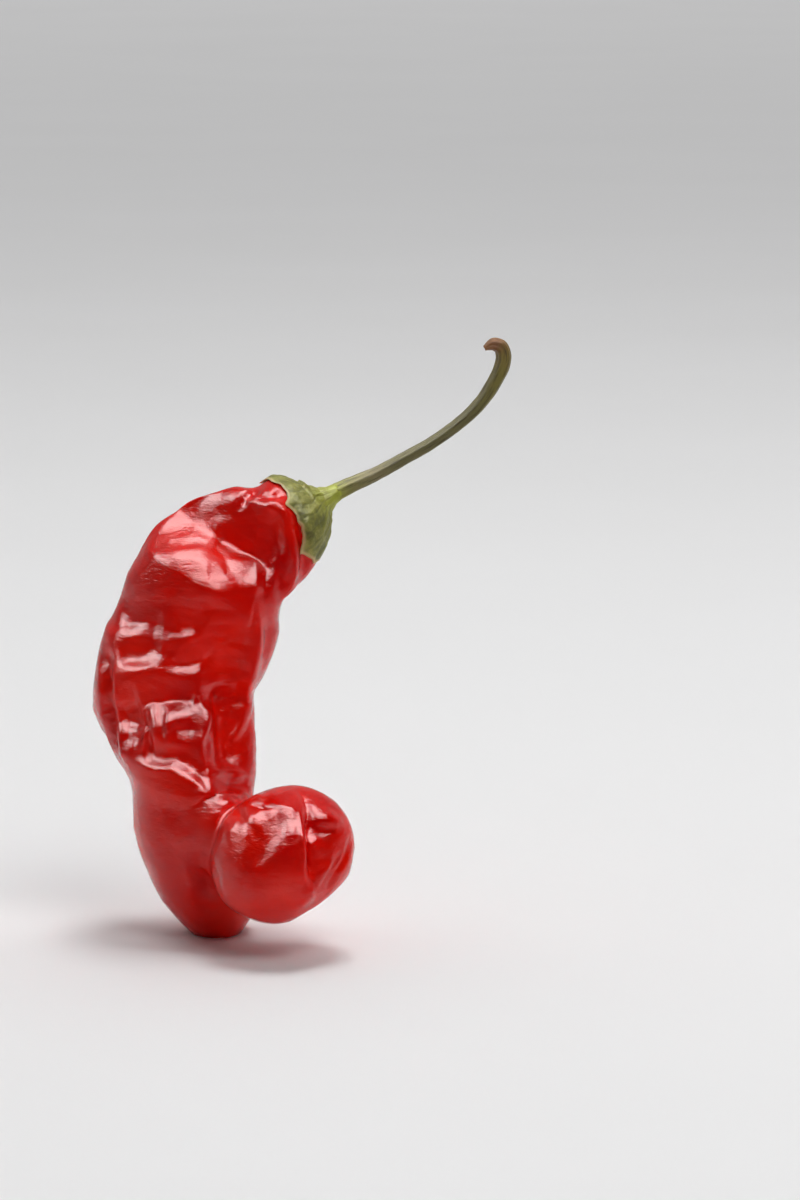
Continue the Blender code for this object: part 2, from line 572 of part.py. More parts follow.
def stem_mesh() -> bpy.types.Mesh:
    """Builds the stem in millimetres: a ribbed stalk from the calyx's end to its hooked, pinched tip."""
    start = CALYX_HEART + CALYX_AXIS * (FLARE[0][0] + STEM_GAP)
    path = np.array([(*start, FLARE[0][1]), *STEM_PATH])
    line = smooth_line(path, STEM_RINGS)
    sections = np.column_stack([line, line[:, 3]])
    shape = bmesh.new()
    add_tube(shape, sections, STEM_SIDES, ribs=STEM_RIBS, rib_share=STEM_RIB_SHARE)
    return mesh_of(shape, "stem")


def add_material(name: str, colour: tuple, roughness: float) -> bpy.types.Material:
    """Makes a plain material of one colour."""
    material = bpy.data.materials.new(name)
    material.use_nodes = True
    shader = material.node_tree.nodes["Principled BSDF"]
    shader.inputs["Base Color"].default_value = (*colour, 1.0)
    shader.inputs["Roughness"].default_value = roughness
    shader.inputs["Metallic"].default_value = 0.0
    return material


def add_piece(name: str, mesh: bpy.types.Mesh, material: bpy.types.Material) -> bpy.types.Object:
    """Places one piece in metres, with the middle of the pod's flat spot at the origin."""
    mesh = mesh.copy()
    mesh.transform(Matrix.Scale(MM, 4) @ Matrix.Translation(-FLOOR_POINT))
    mesh.materials.clear()
    mesh.materials.append(material)
    mesh.shade_smooth()
    piece = bpy.data.objects.new(name, mesh)
    bpy.context.scene.collection.objects.link(piece)
    return piece


def main() -> None:
    """Clears the scene and builds the pod, the calyx and the stem."""
    for old in list(bpy.data.objects):
        bpy.data.objects.remove(old)
    pod = pod_mesh()
    add_piece("pod", pod, add_material("pod_skin", (0.62, 0.008, 0.006), 0.22))
    add_piece("calyx", calyx_mesh(pod), add_material("calyx_green", (0.30, 0.36, 0.12), 0.6))
    add_piece("stem", stem_mesh(), add_material("stem_green", (0.27, 0.29, 0.09), 0.55))


main()
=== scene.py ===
"""The looks of a wrinkled red chilli pepper that stands on the bend of its pod.

The pod, the calyx and the stem are modelled here again on the frame's own lines, with finer folds,
veins and ribs, and each takes the place of its plain solid. The tables are millimetres in a drawing
frame, where the middle of the pod's flat spot is at FLOOR_POINT; the finished meshes are metres.
"""

import json
import logging
import math
from collections.abc import Iterable, Sequence
from dataclasses import dataclass, field
from enum import Enum

import bmesh
import bpy
import numpy as np
from mathutils import Matrix, Vector, noise
from mathutils.bvhtree import BVHTree

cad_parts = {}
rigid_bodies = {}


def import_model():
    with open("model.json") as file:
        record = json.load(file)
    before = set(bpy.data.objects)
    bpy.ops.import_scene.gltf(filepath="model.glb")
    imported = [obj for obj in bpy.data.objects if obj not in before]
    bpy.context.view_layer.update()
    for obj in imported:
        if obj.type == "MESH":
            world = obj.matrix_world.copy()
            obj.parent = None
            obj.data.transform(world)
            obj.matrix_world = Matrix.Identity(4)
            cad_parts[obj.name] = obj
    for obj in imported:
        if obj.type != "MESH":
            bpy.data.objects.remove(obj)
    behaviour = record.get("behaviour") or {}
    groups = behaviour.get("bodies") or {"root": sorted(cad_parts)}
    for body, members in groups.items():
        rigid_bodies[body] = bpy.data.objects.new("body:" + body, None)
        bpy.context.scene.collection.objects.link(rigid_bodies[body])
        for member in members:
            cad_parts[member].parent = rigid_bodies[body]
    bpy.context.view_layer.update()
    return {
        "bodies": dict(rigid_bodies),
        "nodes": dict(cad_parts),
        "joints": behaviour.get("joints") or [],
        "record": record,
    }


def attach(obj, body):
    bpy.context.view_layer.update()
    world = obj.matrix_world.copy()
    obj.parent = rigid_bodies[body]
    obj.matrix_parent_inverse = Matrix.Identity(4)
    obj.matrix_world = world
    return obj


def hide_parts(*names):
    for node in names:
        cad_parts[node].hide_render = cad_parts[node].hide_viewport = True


LOG = logging.getLogger("pepper")

Triple = tuple[float, float, float]
Route = tuple[tuple[float, float], ...]
Socket = bpy.types.NodeSocket

MM = 0.001
FLOOR_POINT = Vector((2.8, -0.4, 1.1))

PHOTO_SIZE = (800, 1200)
PHOTO_ORIGIN = (205.0, 935.0)
MM_PER_PIXEL = 0.215
VIEW_TILT = math.radians(10.0)
LENS_MM = 150.0
SENSOR_MM = 36.0

# How finely curves are read, how squarely the skin faces the viewer where a fold is whole, and how
# high and how long a fold's two ends are.
CURVE_STEPS = 24
PATH_STEPS = 8
FULL_FACING = 0.6
END_HEIGHT = 0.35
END_LENGTH = 0.25


class Side(Enum):
    """The side that a fold is drawn from."""

    FRONT = "front"
    BACK = "back"
    LEFT = "left"
    RIGHT = "right"
    TOP = "top"


class Shape(Enum):
    """The section across a fold: a rounded swell, a sharp-edged slope, a pinched crease or a wall's foot."""

    ROUND = "round"
    EDGE = "edge"
    PINCHED = "pinched"
    WALL = "wall"


@dataclass(frozen=True)
class Station:
    """A section across a tube: its centre, its half breadth across the picture and its half depth."""

    x: float
    y: float
    z: float
    breadth: float
    depth: float

    def row(self) -> tuple[float, ...]:
        """Gives the section as one row of numbers."""
        return (self.x, self.y, self.z, self.breadth, self.depth)


@dataclass(frozen=True)
class Fold:
    """A ridge, crease, dent or lobe drawn over the pod as seen from one side.

    The path is (across, up) on that side's picture plane. Across is x from the front and back, and y
    from the left and right. Seen from the top, the path is (x, y). Reach is how far the fold spreads
    to the left of its path, and under how far to the right, or as far if it is None. Rise is its
    height, or its depth when below 0. A pressed fold moves the skin straight towards or away from
    the viewer, and any other along the skin's normal. A fold is lower at its path's two ends.
    """

    path: Route
    reach: float
    rise: float
    under: float | None = None
    shape: Shape = Shape.ROUND
    side: Side = Side.FRONT
    pressed: bool = False


BODY = (
    Station(24.8, 4.6, 93.6, 1.6, 1.6),
    Station(23.3, 4.3, 92.5, 5.2, 5.0),
    Station(20.8, 3.9, 91.5, 8.7, 8.4),
    Station(16.8, 2.8, 88.3, 11.4, 10.8),
    Station(9.9, 1.8, 84.4, 13.2, 12.4),
    Station(3.6, 1.6, 79.2, 16.0, 12.8),
    Station(0.6, 2.0, 73.2, 17.2, 13.2),
    Station(-1.9, 2.4, 66.0, 17.5, 13.9),
    Station(-5.4, 2.6, 58.4, 17.4, 14.7),
    Station(-6.4, 2.6, 52.0, 17.1, 15.4),
    Station(-5.0, 2.0, 46.6, 16.1, 15.6),
    Station(-3.5, 0.9, 40.6, 14.8, 15.4),
    Station(-2.3, -0.6, 35.0, 13.7, 15.2),
    Station(-2.5, -1.6, 29.5, 12.9, 14.6),
    Station(-2.4, -1.9, 23.0, 12.0, 13.9),
    Station(-0.6, -1.3, 16.0, 11.4, 12.6),
    Station(1.1, -0.7, 10.8, 10.4, 11.2),
    Station(2.4, -0.4, 5.8, 8.6, 9.7),
    Station(3.0, -0.2, 2.4, 6.6, 7.8),
    Station(3.3, -0.3, -0.8, 4.0, 5.0),
)

NECK = (
    Station(-7.0, -1.0, 28.5, 10.0, 10.0),
    Station(-2.6, -4.6, 27.2, 11.4, 11.4),
    Station(3.6, -9.4, 24.6, 10.3, 10.6),
    Station(8.4, -13.2, 22.6, 9.0, 9.6),
    Station(12.6, -16.4, 21.8, 9.0, 9.2),
    Station(16.0, -19.0, 21.4, 8.0, 8.0),
)

FRONT_FORMS = (
    Fold(
        ((-8.0, 92.6), (-5.0, 90.8), (-1.8, 88.4), (2.6, 85.6), (7.6, 82.6), (14.0, 78.6), (18.0, 76.4)),
        12.0,
        -6.0,
        10.5,
        Shape.WALL,
        pressed=True,
    ),
    Fold(((-11.0, 82.2), (-6.2, 80.6), (-1.5, 79.8), (1.0, 77.0), (4.1, 73.1), (8.8, 71.4)), 6.0, 0.6, 14.0),
    Fold(((2.0, 87.0), (5.8, 84.0), (10.1, 81.5), (14.5, 78.0)), 8.0, -1.4, 6.0, Shape.EDGE),
    Fold(((-1.5, 33.4), (1.6, 31.2), (5.0, 29.4), (9.4, 28.8)), 4.6, 2.1, 9.0),
    Fold(((-19.0, 67.0), (-13.5, 67.3), (-9.0, 67.0), (-2.2, 66.2), (1.0, 65.0)), 10.0, -1.0, 4.0),
    Fold(((-19.0, 59.2), (-12.0, 60.6), (-8.0, 61.0), (-3.7, 59.0), (5.0, 59.2)), 8.0, -1.1, 4.4),
    Fold(
        ((-19.5, 48.4), (-12.7, 49.8), (-8.0, 50.6), (-4.5, 51.2), (-1.0, 50.3)),
        9.0,
        -2.6,
        5.0,
        Shape.EDGE,
    ),
    Fold(((-15.0, 44.6), (-9.5, 45.4), (-4.4, 44.6)), 7.0, 1.6),
    Fold(
        ((-15.0, 39.0), (-12.7, 37.6), (-9.7, 36.8), (-5.8, 36.6), (-2.6, 34.8), (0.2, 32.4), (3.2, 29.2)),
        4.0,
        1.6,
        8.0,
        Shape.EDGE,
    ),
    Fold(((5.4, 55.6), (6.6, 49.0), (7.2, 43.0), (7.4, 38.0), (7.2, 34.0)), 6.2, -4.7),
    Fold(((27.6, 27.0), (28.4, 21.0), (28.0, 15.0)), 4.6, -1.5),
    Fold(((18.6, 27.6), (14.0, 23.0), (12.0, 15.0)), 4.2, -0.8),
    Fold(((6.4, 26.8), (10.4, 28.8), (15.0, 30.0)), 3.6, -0.9),
    Fold(((-1.0, 20.0), (0.6, 14.0), (1.6, 7.0)), 4.0, -1.5),
)

OTHER_FORMS = (
    Fold(((12.0, 90.0), (6.0, 85.0), (3.0, 79.0)), 7.0, -2.6, side=Side.BACK),
    Fold(((-6.0, 86.0), (-3.0, 77.0), (4.0, 70.0), (12.0, 66.0)), 5.0, 1.8, side=Side.BACK),
    Fold(((-12.0, 72.0), (-7.0, 64.0), (-6.0, 54.0)), 4.6, -2.4, side=Side.BACK),
    Fold(((2.0, 62.0), (3.0, 55.0), (0.0, 47.0), (-4.0, 40.0)), 6.0, 1.8, side=Side.BACK),
    Fold(((9.0, 54.0), (5.0, 42.0), (5.0, 32.0)), 4.0, -2.2, side=Side.BACK),
    Fold(((-12.0, 42.0), (-8.0, 33.0), (-7.0, 22.0)), 4.4, -1.8, side=Side.BACK),
    Fold(((20.0, 30.0), (16.0, 22.0), (20.0, 14.0)), 4.6, -1.3, side=Side.BACK),
    Fold(((9.0, 82.0), (12.0, 71.0), (8.0, 61.0)), 4.4, -1.6, side=Side.LEFT),
    Fold(((6.0, 51.0), (6.0, 43.0)), 6.0, 1.2, side=Side.LEFT),
    Fold(((7.0, 34.0), (9.0, 25.0), (6.0, 16.0)), 4.4, -1.3, side=Side.LEFT),
    Fold(((10.0, 80.0), (13.0, 70.0), (11.0, 58.0)), 4.2, -1.6, side=Side.RIGHT),
    Fold(((5.0, 44.0), (8.0, 36.0), (5.0, 27.0)), 4.4, -1.5, side=Side.RIGHT),
    Fold(((-27.0, 13.0), (-20.0, 11.4), (-13.0, 13.0)), 7.0, -1.2, side=Side.RIGHT),
    Fold(((-7.0, -1.0), (-1.0, -2.4), (5.0, -3.4), (10.0, -4.0)), 9.0, 1.4, 3.4, side=Side.TOP),
    Fold(((11.5, -9.0), (11.0, 2.0), (12.0, 10.0)), 4.0, -1.2, side=Side.TOP),
)

SHOULDER_RIDGES = (
    Fold(((7.1, 92.5), (10.5, 92.9), (13.0, 92.0), (16.5, 91.6)), 3.5, 1.2, 4.0, Shape.EDGE),
    Fold(((12.2, 96.0), (9.7, 93.5), (8.0, 91.8)), 1.5, -1.2),
    Fold(((11.4, 94.4), (14.5, 93.6), (17.6, 94.6)), 1.4, -0.8),
    Fold(
        ((-8.4, 83.5), (-3.7, 83.6), (0.6, 83.9), (4.7, 81.5), (5.8, 78.0), (8.8, 74.6), (11.8, 72.9)),
        1.4,
        -0.25,
        1.6,
    ),
    Fold(((2.0, 86.4), (5.0, 85.0), (9.0, 82.4), (14.0, 78.8)), 3.0, -1.2, 6.0, Shape.EDGE),
    Fold(
        ((-9.9, 81.9), (-6.2, 80.6), (-1.5, 80.0), (0.6, 78.7), (1.3, 75.5), (4.1, 73.1), (8.8, 71.4)),
        6.5,
        1.0,
        7.0,
        Shape.EDGE,
    ),
    Fold(((11.4, 82.4), (11.4, 77.0), (10.8, 72.0)), 3.4, 2.0, 9.5, Shape.EDGE),
    Fold(
        ((16.1, 91.8), (17.4, 89.7), (18.2, 86.0), (18.9, 83.2), (19.6, 79.0), (17.8, 74.2), (17.0, 71.2)),
        2.6,
        1.6,
        2.6,
        Shape.EDGE,
    ),
    Fold(((15.6, 79.5), (14.9, 76.0), (14.6, 72.5), (16.6, 70.3)), 1.8, 0.8),
    Fold(((19.8, 91.0), (20.9, 86.6), (21.6, 81.5), (20.6, 76.8)), 1.8, -1.2),
)

MIDDLE_RIDGES = (
    Fold(
        ((11.8, 68.6), (12.0, 65.6), (11.4, 61.3), (10.5, 57.0), (8.8, 50.5), (7.0, 44.0)),
        2.2,
        1.4,
        2.4,
        Shape.EDGE,
    ),
    Fold(((13.8, 67.0), (14.3, 63.5), (13.2, 59.0)), 1.8, -0.9),
    Fold(((-18.2, 66.6), (-13.5, 67.3), (-7.6, 66.7)), 8.0, -1.1, 3.2, Shape.EDGE),
    Fold(((-15.6, 63.0), (-12.0, 63.1)), 2.0, -0.25, 1.2),
    Fold(((-4.8, 65.2), (-2.2, 66.2), (0.6, 64.9)), 7.0, -1.0, 2.2, Shape.EDGE),
    Fold(((-12.7, 59.4), (-9.7, 61.1), (-7.5, 62.2), (-4.3, 63.8), (0.6, 64.1)), 1.2, 0.2),
    Fold(((-18.8, 59.4), (-16.0, 60.3), (-13.0, 60.6), (-10.2, 61.8), (-7.6, 62.2)), 6.0, -1.5, 3.4),
    Fold(((4.2, 67.0), (4.8, 61.0), (5.6, 54.0)), 7.5, -1.9),
    Fold(((5.4, 55.5), (6.0, 51.5)), 5.0, 1.2),
    Fold(((-8.0, 58.2), (-3.7, 58.3), (0.2, 58.9), (5.0, 59.0)), 6.0, -1.1, 2.2, Shape.EDGE),
    Fold(((6.5, 62.7), (10.1, 62.2)), 3.0, -0.6, 1.2),
    Fold(((-0.2, 69.9), (3.4, 70.0), (6.7, 69.6)), 3.5, -0.7, 1.6),
    Fold(((-20.6, 60.0), (-20.4, 52.7), (-20.2, 46.2), (-19.4, 41.5), (-18.0, 37.6)), 1.8, -2.0),
)

LOBE_RIDGES = (
    Fold(((-18.4, 48.5), (-15.0, 49.2), (-12.7, 49.6)), 6.0, -0.9, 2.6, Shape.EDGE),
    Fold(((-8.2, 50.4), (-4.5, 51.1), (-1.0, 50.1)), 6.0, -1.0, 2.8, Shape.EDGE),
    Fold(((-18.4, 45.6), (-15.4, 46.0), (-11.6, 45.2)), 4.5, -2.8, 8.0),
    Fold(((-17.6, 46.5), (-17.2, 42.0), (-16.0, 38.0)), 6.0, 1.2, 2.0, Shape.EDGE),
    Fold(((-6.2, 44.7), (-3.5, 44.8), (-1.4, 44.6)), 2.6, -0.8, 3.2, Shape.EDGE),
    Fold(((-12.0, 49.0), (-11.8, 44.0), (-11.0, 38.6)), 1.3, -0.9),
    Fold(((-8.6, 49.6), (-8.4, 45.0), (-8.0, 42.4)), 1.3, -0.9),
    Fold(
        ((-14.0, 42.0), (-9.7, 38.8), (-5.8, 38.8), (-2.8, 37.5), (0.2, 35.3), (1.6, 32.8), (3.2, 30.6)),
        3.5,
        -1.0,
        2.6,
        Shape.EDGE,
    ),
    Fold(
        ((-0.4, 50.6), (1.0, 47.5), (0.5, 44.1), (-0.2, 42.4), (0.2, 38.5), (1.6, 35.9)),
        1.6,
        1.6,
        3.0,
        Shape.EDGE,
    ),
    Fold(((10.1, 50.5), (8.4, 46.0), (5.8, 41.2)), 1.2, 0.5),
    Fold(((1.6, 35.6), (4.9, 35.8), (7.5, 35.1), (9.6, 34.0)), 1.3, 0.7),
    Fold(((5.2, 33.6), (7.6, 33.0), (10.2, 33.2)), 2.2, -1.0),
    Fold(((3.6, 29.8), (5.4, 29.1), (7.5, 28.9), (10.1, 29.2), (12.0, 30.5)), 1.6, 0.6),
)

TIP_RIDGES = (
    Fold(
        ((21.3, 31.8), (22.8, 28.6), (23.4, 22.6), (23.6, 16.1), (23.9, 12.8)),
        4.4,
        -3.2,
        1.7,
        Shape.PINCHED,
    ),
    Fold(((21.6, 24.8), (22.3, 19.1), (22.9, 15.3)), 1.1, 0.7),
    Fold(((8.8, 26.4), (11.8, 29.0), (15.0, 30.6)), 3.0, 1.5, 8.0, Shape.EDGE),
    Fold(((14.4, 28.8), (17.6, 28.3), (21.0, 27.6)), 3.0, 1.0, 3.6, Shape.EDGE),
    Fold(((17.6, 24.2), (20.6, 23.6)), 2.4, 0.5),
    Fold(((21.9, 31.0), (24.7, 27.7), (28.2, 25.2), (28.8, 22.8)), 2.4, 1.0, 2.2),
    Fold(((23.6, 26.6), (26.0, 22.4)), 2.0, -0.9),
    Fold(((31.6, 22.0), (30.6, 18.0), (28.6, 15.0), (26.4, 10.5)), 0.9, -0.8),
    Fold(((29.6, 19.0), (27.8, 15.6), (25.8, 11.6)), 0.8, -0.6),
    Fold(((23.9, 12.4), (22.4, 10.0), (20.4, 8.2)), 2.0, 0.6),
)

OTHER_RIDGES = (
    Fold(((-13.0, 82.0), (-4.0, 82.0), (4.0, 77.0), (9.0, 76.0)), 2.2, 1.3, side=Side.BACK),
    Fold(((-13.0, 79.0), (-4.0, 78.6), (3.0, 73.6)), 1.8, -1.4, side=Side.BACK),
    Fold(((16.0, 88.0), (14.0, 80.0), (16.0, 73.0)), 2.0, 1.4, side=Side.BACK),
    Fold(((-15.0, 66.0), (-7.0, 68.0), (1.0, 65.0), (6.0, 66.5)), 2.0, 1.2, side=Side.BACK),
    Fold(((-3.0, 60.0), (4.0, 58.5), (9.0, 61.0)), 1.8, -1.2, side=Side.BACK),
    Fold(((-19.0, 57.0), (-12.0, 54.0), (-5.0, 56.0)), 2.0, -1.3, side=Side.BACK),
    Fold(((-19.0, 53.0), (-11.0, 50.6), (-4.0, 51.6), (3.0, 49.0)), 2.1, 1.3, side=Side.BACK),
    Fold(((-3.0, 44.0), (2.0, 39.0), (1.0, 33.0), (4.0, 27.0)), 2.2, 1.4, side=Side.BACK),
    Fold(((-14.0, 38.0), (-7.0, 39.0), (-1.0, 36.0)), 2.0, -1.3, side=Side.BACK),
    Fold(((-12.0, 28.0), (-5.0, 25.6), (2.0, 27.0), (8.0, 24.0)), 2.0, 1.1, side=Side.BACK),
    Fold(((-6.0, 18.0), (0.0, 15.0), (6.0, 16.0)), 2.2, -1.1, side=Side.BACK),
    Fold(((26.0, 14.0), (21.0, 19.0), (18.0, 27.0)), 2.0, -1.1, side=Side.BACK),
    Fold(((8.0, 72.0), (11.0, 69.0), (16.0, 69.0)), 2.0, -1.0, side=Side.LEFT),
    Fold(((8.0, 56.0), (11.0, 58.0), (16.0, 56.0)), 2.1, 0.9, side=Side.LEFT),
    Fold(((6.0, 32.0), (9.0, 29.0), (13.0, 31.0)), 2.1, 0.8, side=Side.LEFT),
    Fold(((9.0, 74.0), (12.0, 72.0), (16.0, 75.0)), 2.2, 1.0, side=Side.RIGHT),
    Fold(((8.0, 63.0), (12.0, 60.0), (16.0, 63.0)), 2.2, -1.0, side=Side.RIGHT),
    Fold(((7.5, 49.0), (10.0, 49.0), (14.0, 52.0)), 2.0, 0.9, side=Side.RIGHT),
    Fold(((-16.0, 33.0), (-17.0, 25.0), (-14.0, 15.0)), 1.7, -1.0, side=Side.RIGHT),
)


@dataclass(frozen=True)
class Crumple:
    """A net of soft ridges over the whole skin: its height, and its spacing along each axis."""

    height: float
    spacing: Triple
    offset: float = 0.0

    def lift(self, point: Vector) -> float:
        """Reads the net's height at a place.

        Args:
            point: The place, in millimetres.

        Returns:
            The height, from about -height to height.
        """
        x, y, z = self.spacing
        place = Vector((point.x / x, point.y / y, point.z / z + self.offset))
        return self.height * (1.0 - 4.0 * abs(noise.noise(place)))


def smooth_line(points: np.ndarray, count: int) -> np.ndarray:
    """Reads evenly spaced rows from a smooth curve through the given rows.

    Args:
        points: Rows whose first two or three columns are a place; any others ride along.
        count: How many rows to read.

    Returns:
        The rows, evenly spaced by length.
    """
    ends = np.vstack([2 * points[0] - points[1], points, 2 * points[-1] - points[-2]])
    fine = []
    steps = np.linspace(0.0, 1.0, CURVE_STEPS, endpoint=False)[:, None]
    for before, start, end, after in zip(ends, ends[1:], ends[2:], ends[3:]):
        fine.append(
            start
            + steps * 0.5 * (end - before)
            + steps**2 * (before - 2.5 * start + 2.0 * end - 0.5 * after)
            + steps**3 * (1.5 * (start - end) + 0.5 * (after - before))
        )
    line = np.vstack([*fine, points[-1:]])
    lengths = np.linalg.norm(np.diff(line[:, :3], axis=0), axis=1)
    along = np.concatenate([[0.0], np.cumsum(lengths)])
    wanted = np.linspace(0.0, along[-1], count)
    return np.column_stack([np.interp(wanted, along, column) for column in line.T])


def eased(value: np.ndarray) -> np.ndarray:
    """Eases a value from 0 to 1 with flat ends."""
    value = np.clip(value, 0.0, 1.0)
    return value * value * (3.0 - 2.0 * value)


def ring_frames(sections: np.ndarray, easing: int) -> list[Matrix]:
    """Works out the matrix that carries a unit circle to each section of a tube.

    Args:
        sections: Rows of x, y, z, half breadth and half depth.
        easing: How many neighbours on each side share a ring's direction.

    Returns:
        One matrix for each row.
    """
    padded = np.pad(np.gradient(sections[:, :3], axis=0), ((easing, easing), (0, 0)), mode="edge")
    frames = []
    for place, row in enumerate(sections):
        ahead = Vector(padded[place : place + 2 * easing + 1].mean(0)).normalized()
        across = ahead.cross(Vector((0.0, 1.0, 0.0))).normalized()
        inward = ahead.cross(across).normalized()
        turn = Matrix((across, inward, ahead)).transposed().to_4x4()
        size = Matrix.Diagonal((row[3], row[4], 1.0, 1.0))
        frames.append(Matrix.Translation(row[:3]) @ turn @ size)
    return frames


def add_tube(shape: bmesh.types.BMesh, frames: Sequence[Matrix], sides: int) -> list[list]:
    """Extrudes a closed tube through a row of ring frames.

    Args:
        shape: The bmesh to add to.
        frames: The matrix of each ring.
        sides: How many sides each ring has.

    Returns:
        The rings' vertices, from the first to the last.
    """
    first = bmesh.ops.create_circle(shape, cap_ends=True, radius=1.0, segments=sides, matrix=frames[0])
    cap = first["verts"][0].link_faces[0]
    rings = [list(cap.verts)]
    for last, following in zip(frames, frames[1:]):
        grown = bmesh.ops.extrude_face_region(shape, geom=[cap])["geom"]
        if len(rings) > 1:
            bmesh.ops.delete(shape, geom=[cap], context="FACES_ONLY")
        cap = next(item for item in grown if isinstance(item, bmesh.types.BMFace))
        rings.append(list(cap.verts))
        bmesh.ops.transform(shape, matrix=following @ last.inverted(), verts=rings[-1])
    return rings


def mesh_of(shape: bmesh.types.BMesh, name: str) -> bpy.types.Mesh:
    """Turns a bmesh into a mesh and frees it.

    Args:
        shape: The bmesh.
        name: The mesh's name.

    Returns:
        The mesh.
    """
    mesh = bpy.data.meshes.new(name)
    shape.to_mesh(mesh)
    shape.free()
    return mesh


def modified(mesh: bpy.types.Mesh, kind: str, **settings: object) -> bpy.types.Mesh:
    """Applies one modifier to a mesh.

    Args:
        mesh: The mesh, which stays as it is.
        kind: The modifier's type.
        **settings: The modifier's own settings.

    Returns:
        The new mesh.
    """
    helper = bpy.data.objects.new("helper", mesh)
    bpy.context.scene.collection.objects.link(helper)
    modifier = helper.modifiers.new(kind.title(), kind)
    for setting, value in settings.items():
        setattr(modifier, setting, value)
    graph = bpy.context.evaluated_depsgraph_get()
    result = bpy.data.meshes.new_from_object(helper.evaluated_get(graph))
    bpy.data.objects.remove(helper)
    return result


def smoothed(mesh: bpy.types.Mesh, rounds: int) -> bpy.types.Mesh:
    """Returns the mesh with its vertices evened out."""
    return modified(mesh, "SMOOTH", factor=0.5, iterations=rounds)


def picture_plane(side: Side) -> tuple[np.ndarray, np.ndarray, np.ndarray]:
    """Gives the directions of one side's picture plane.

    Args:
        side: The side that the pod is seen from.

    Returns:
        The directions across, up and towards the viewer.
    """
    if side is Side.FRONT:
        up = (0.0, math.sin(VIEW_TILT), math.cos(VIEW_TILT))
        facing = (0.0, -math.cos(VIEW_TILT), math.sin(VIEW_TILT))
        return np.array((1.0, 0.0, 0.0)), np.array(up), np.array(facing)
    if side is Side.TOP:
        return np.array((1.0, 0.0, 0.0)), np.array((0.0, 1.0, 0.0)), np.array((0.0, 0.0, 1.0))
    facing = {Side.BACK: (0.0, 1.0, 0.0), Side.LEFT: (-1.0, 0.0, 0.0), Side.RIGHT: (1.0, 0.0, 0.0)}[side]
    across = (1.0, 0.0, 0.0) if side is Side.BACK else (0.0, 1.0, 0.0)
    return np.array(across), np.array((0.0, 0.0, 1.0)), np.array(facing)


@dataclass
class Surface:
    """A mesh's points and normals, read once so that folds can be worked out for all of them.

    Lift is how far each point moves along its normal, and shift how far it moves besides.
    """

    mesh: bpy.types.Mesh
    points: np.ndarray = field(init=False)
    normals: np.ndarray = field(init=False)
    lift: np.ndarray = field(init=False)
    shift: np.ndarray = field(init=False)

    def __post_init__(self) -> None:
        """Reads the mesh."""
        count = len(self.mesh.vertices)
        points = np.empty(count * 3)
        normals = np.empty(count * 3)
        self.mesh.vertices.foreach_get("co", points)
        self.mesh.vertex_normals.foreach_get("vector", normals)
        self.points = points.reshape(-1, 3)
        self.normals = normals.reshape(-1, 3)
        self.lift = np.zeros(count)
        self.shift = np.zeros((count, 3))

    def fold(self, fold: Fold) -> None:
        """Adds one fold to the lift, or to the shift if it is pressed.

        Args:
            fold: The fold.
        """
        across, up, facing = picture_plane(fold.side)
        weight = eased((self.normals @ facing) / FULL_FACING)
        flat = np.column_stack([self.points @ across, self.points @ up])
        line = smooth_line(np.array(fold.path, float), PATH_STEPS * len(fold.path))
        under = fold.reach if fold.under is None else fold.under
        widest = max(fold.reach, under)
        low, high = line.min(0) - widest, line.max(0) + widest
        near = np.nonzero((weight > 0.0) & (flat >= low).all(1) & (flat <= high).all(1))[0]
        if not len(near):
            return
        spans = np.diff(line, axis=0)
        offsets = flat[near][:, None] - line[:-1]
        share = np.clip((offsets * spans).sum(2) / (spans**2).sum(1), 0.0, 1.0)
        gaps = np.linalg.norm(offsets - share[..., None] * spans, axis=2)
        nearest = gaps.argmin(1)
        rows = np.arange(len(near))
        span, offset = spans[nearest], offsets[rows, nearest]
        left = span[:, 0] * offset[:, 1] - span[:, 1] * offset[:, 0] > 0.0
        gap = np.clip(gaps[rows, nearest] / np.where(left, fold.reach, under), 0.0, 1.0)
        along = (nearest + share[rows, nearest]) / len(spans)
        section = {
            Shape.ROUND: (1.0 - gap**2) ** 2,
            Shape.EDGE: (1.0 - gap) ** 1.25,
            Shape.PINCHED: (1.0 - gap) ** 1.6,
            Shape.WALL: np.where(left, 1.0 - gap**2, 1.0 - gap),
        }[fold.shape]
        inner = eased(along / END_LENGTH) * eased((1.0 - along) / END_LENGTH)
        ends = END_HEIGHT + (1.0 - END_HEIGHT) * inner
        height = fold.rise * section * ends * weight[near]
        if fold.pressed:
            self.shift[near] += height[:, None] * facing
        else:
            self.lift[near] += height

    def crumple(self, nets: Iterable[Crumple]) -> None:
        """Adds each net of ridges to the lift."""
        for net in nets:
            self.lift += [net.lift(Vector(point)) for point in self.points]

    def settle(self) -> None:
        """Moves the mesh's points by the lift and the shift."""
        moved = self.points + self.lift[:, None] * self.normals + self.shift
        self.mesh.vertices.foreach_set("co", moved.ravel())
        self.mesh.update()


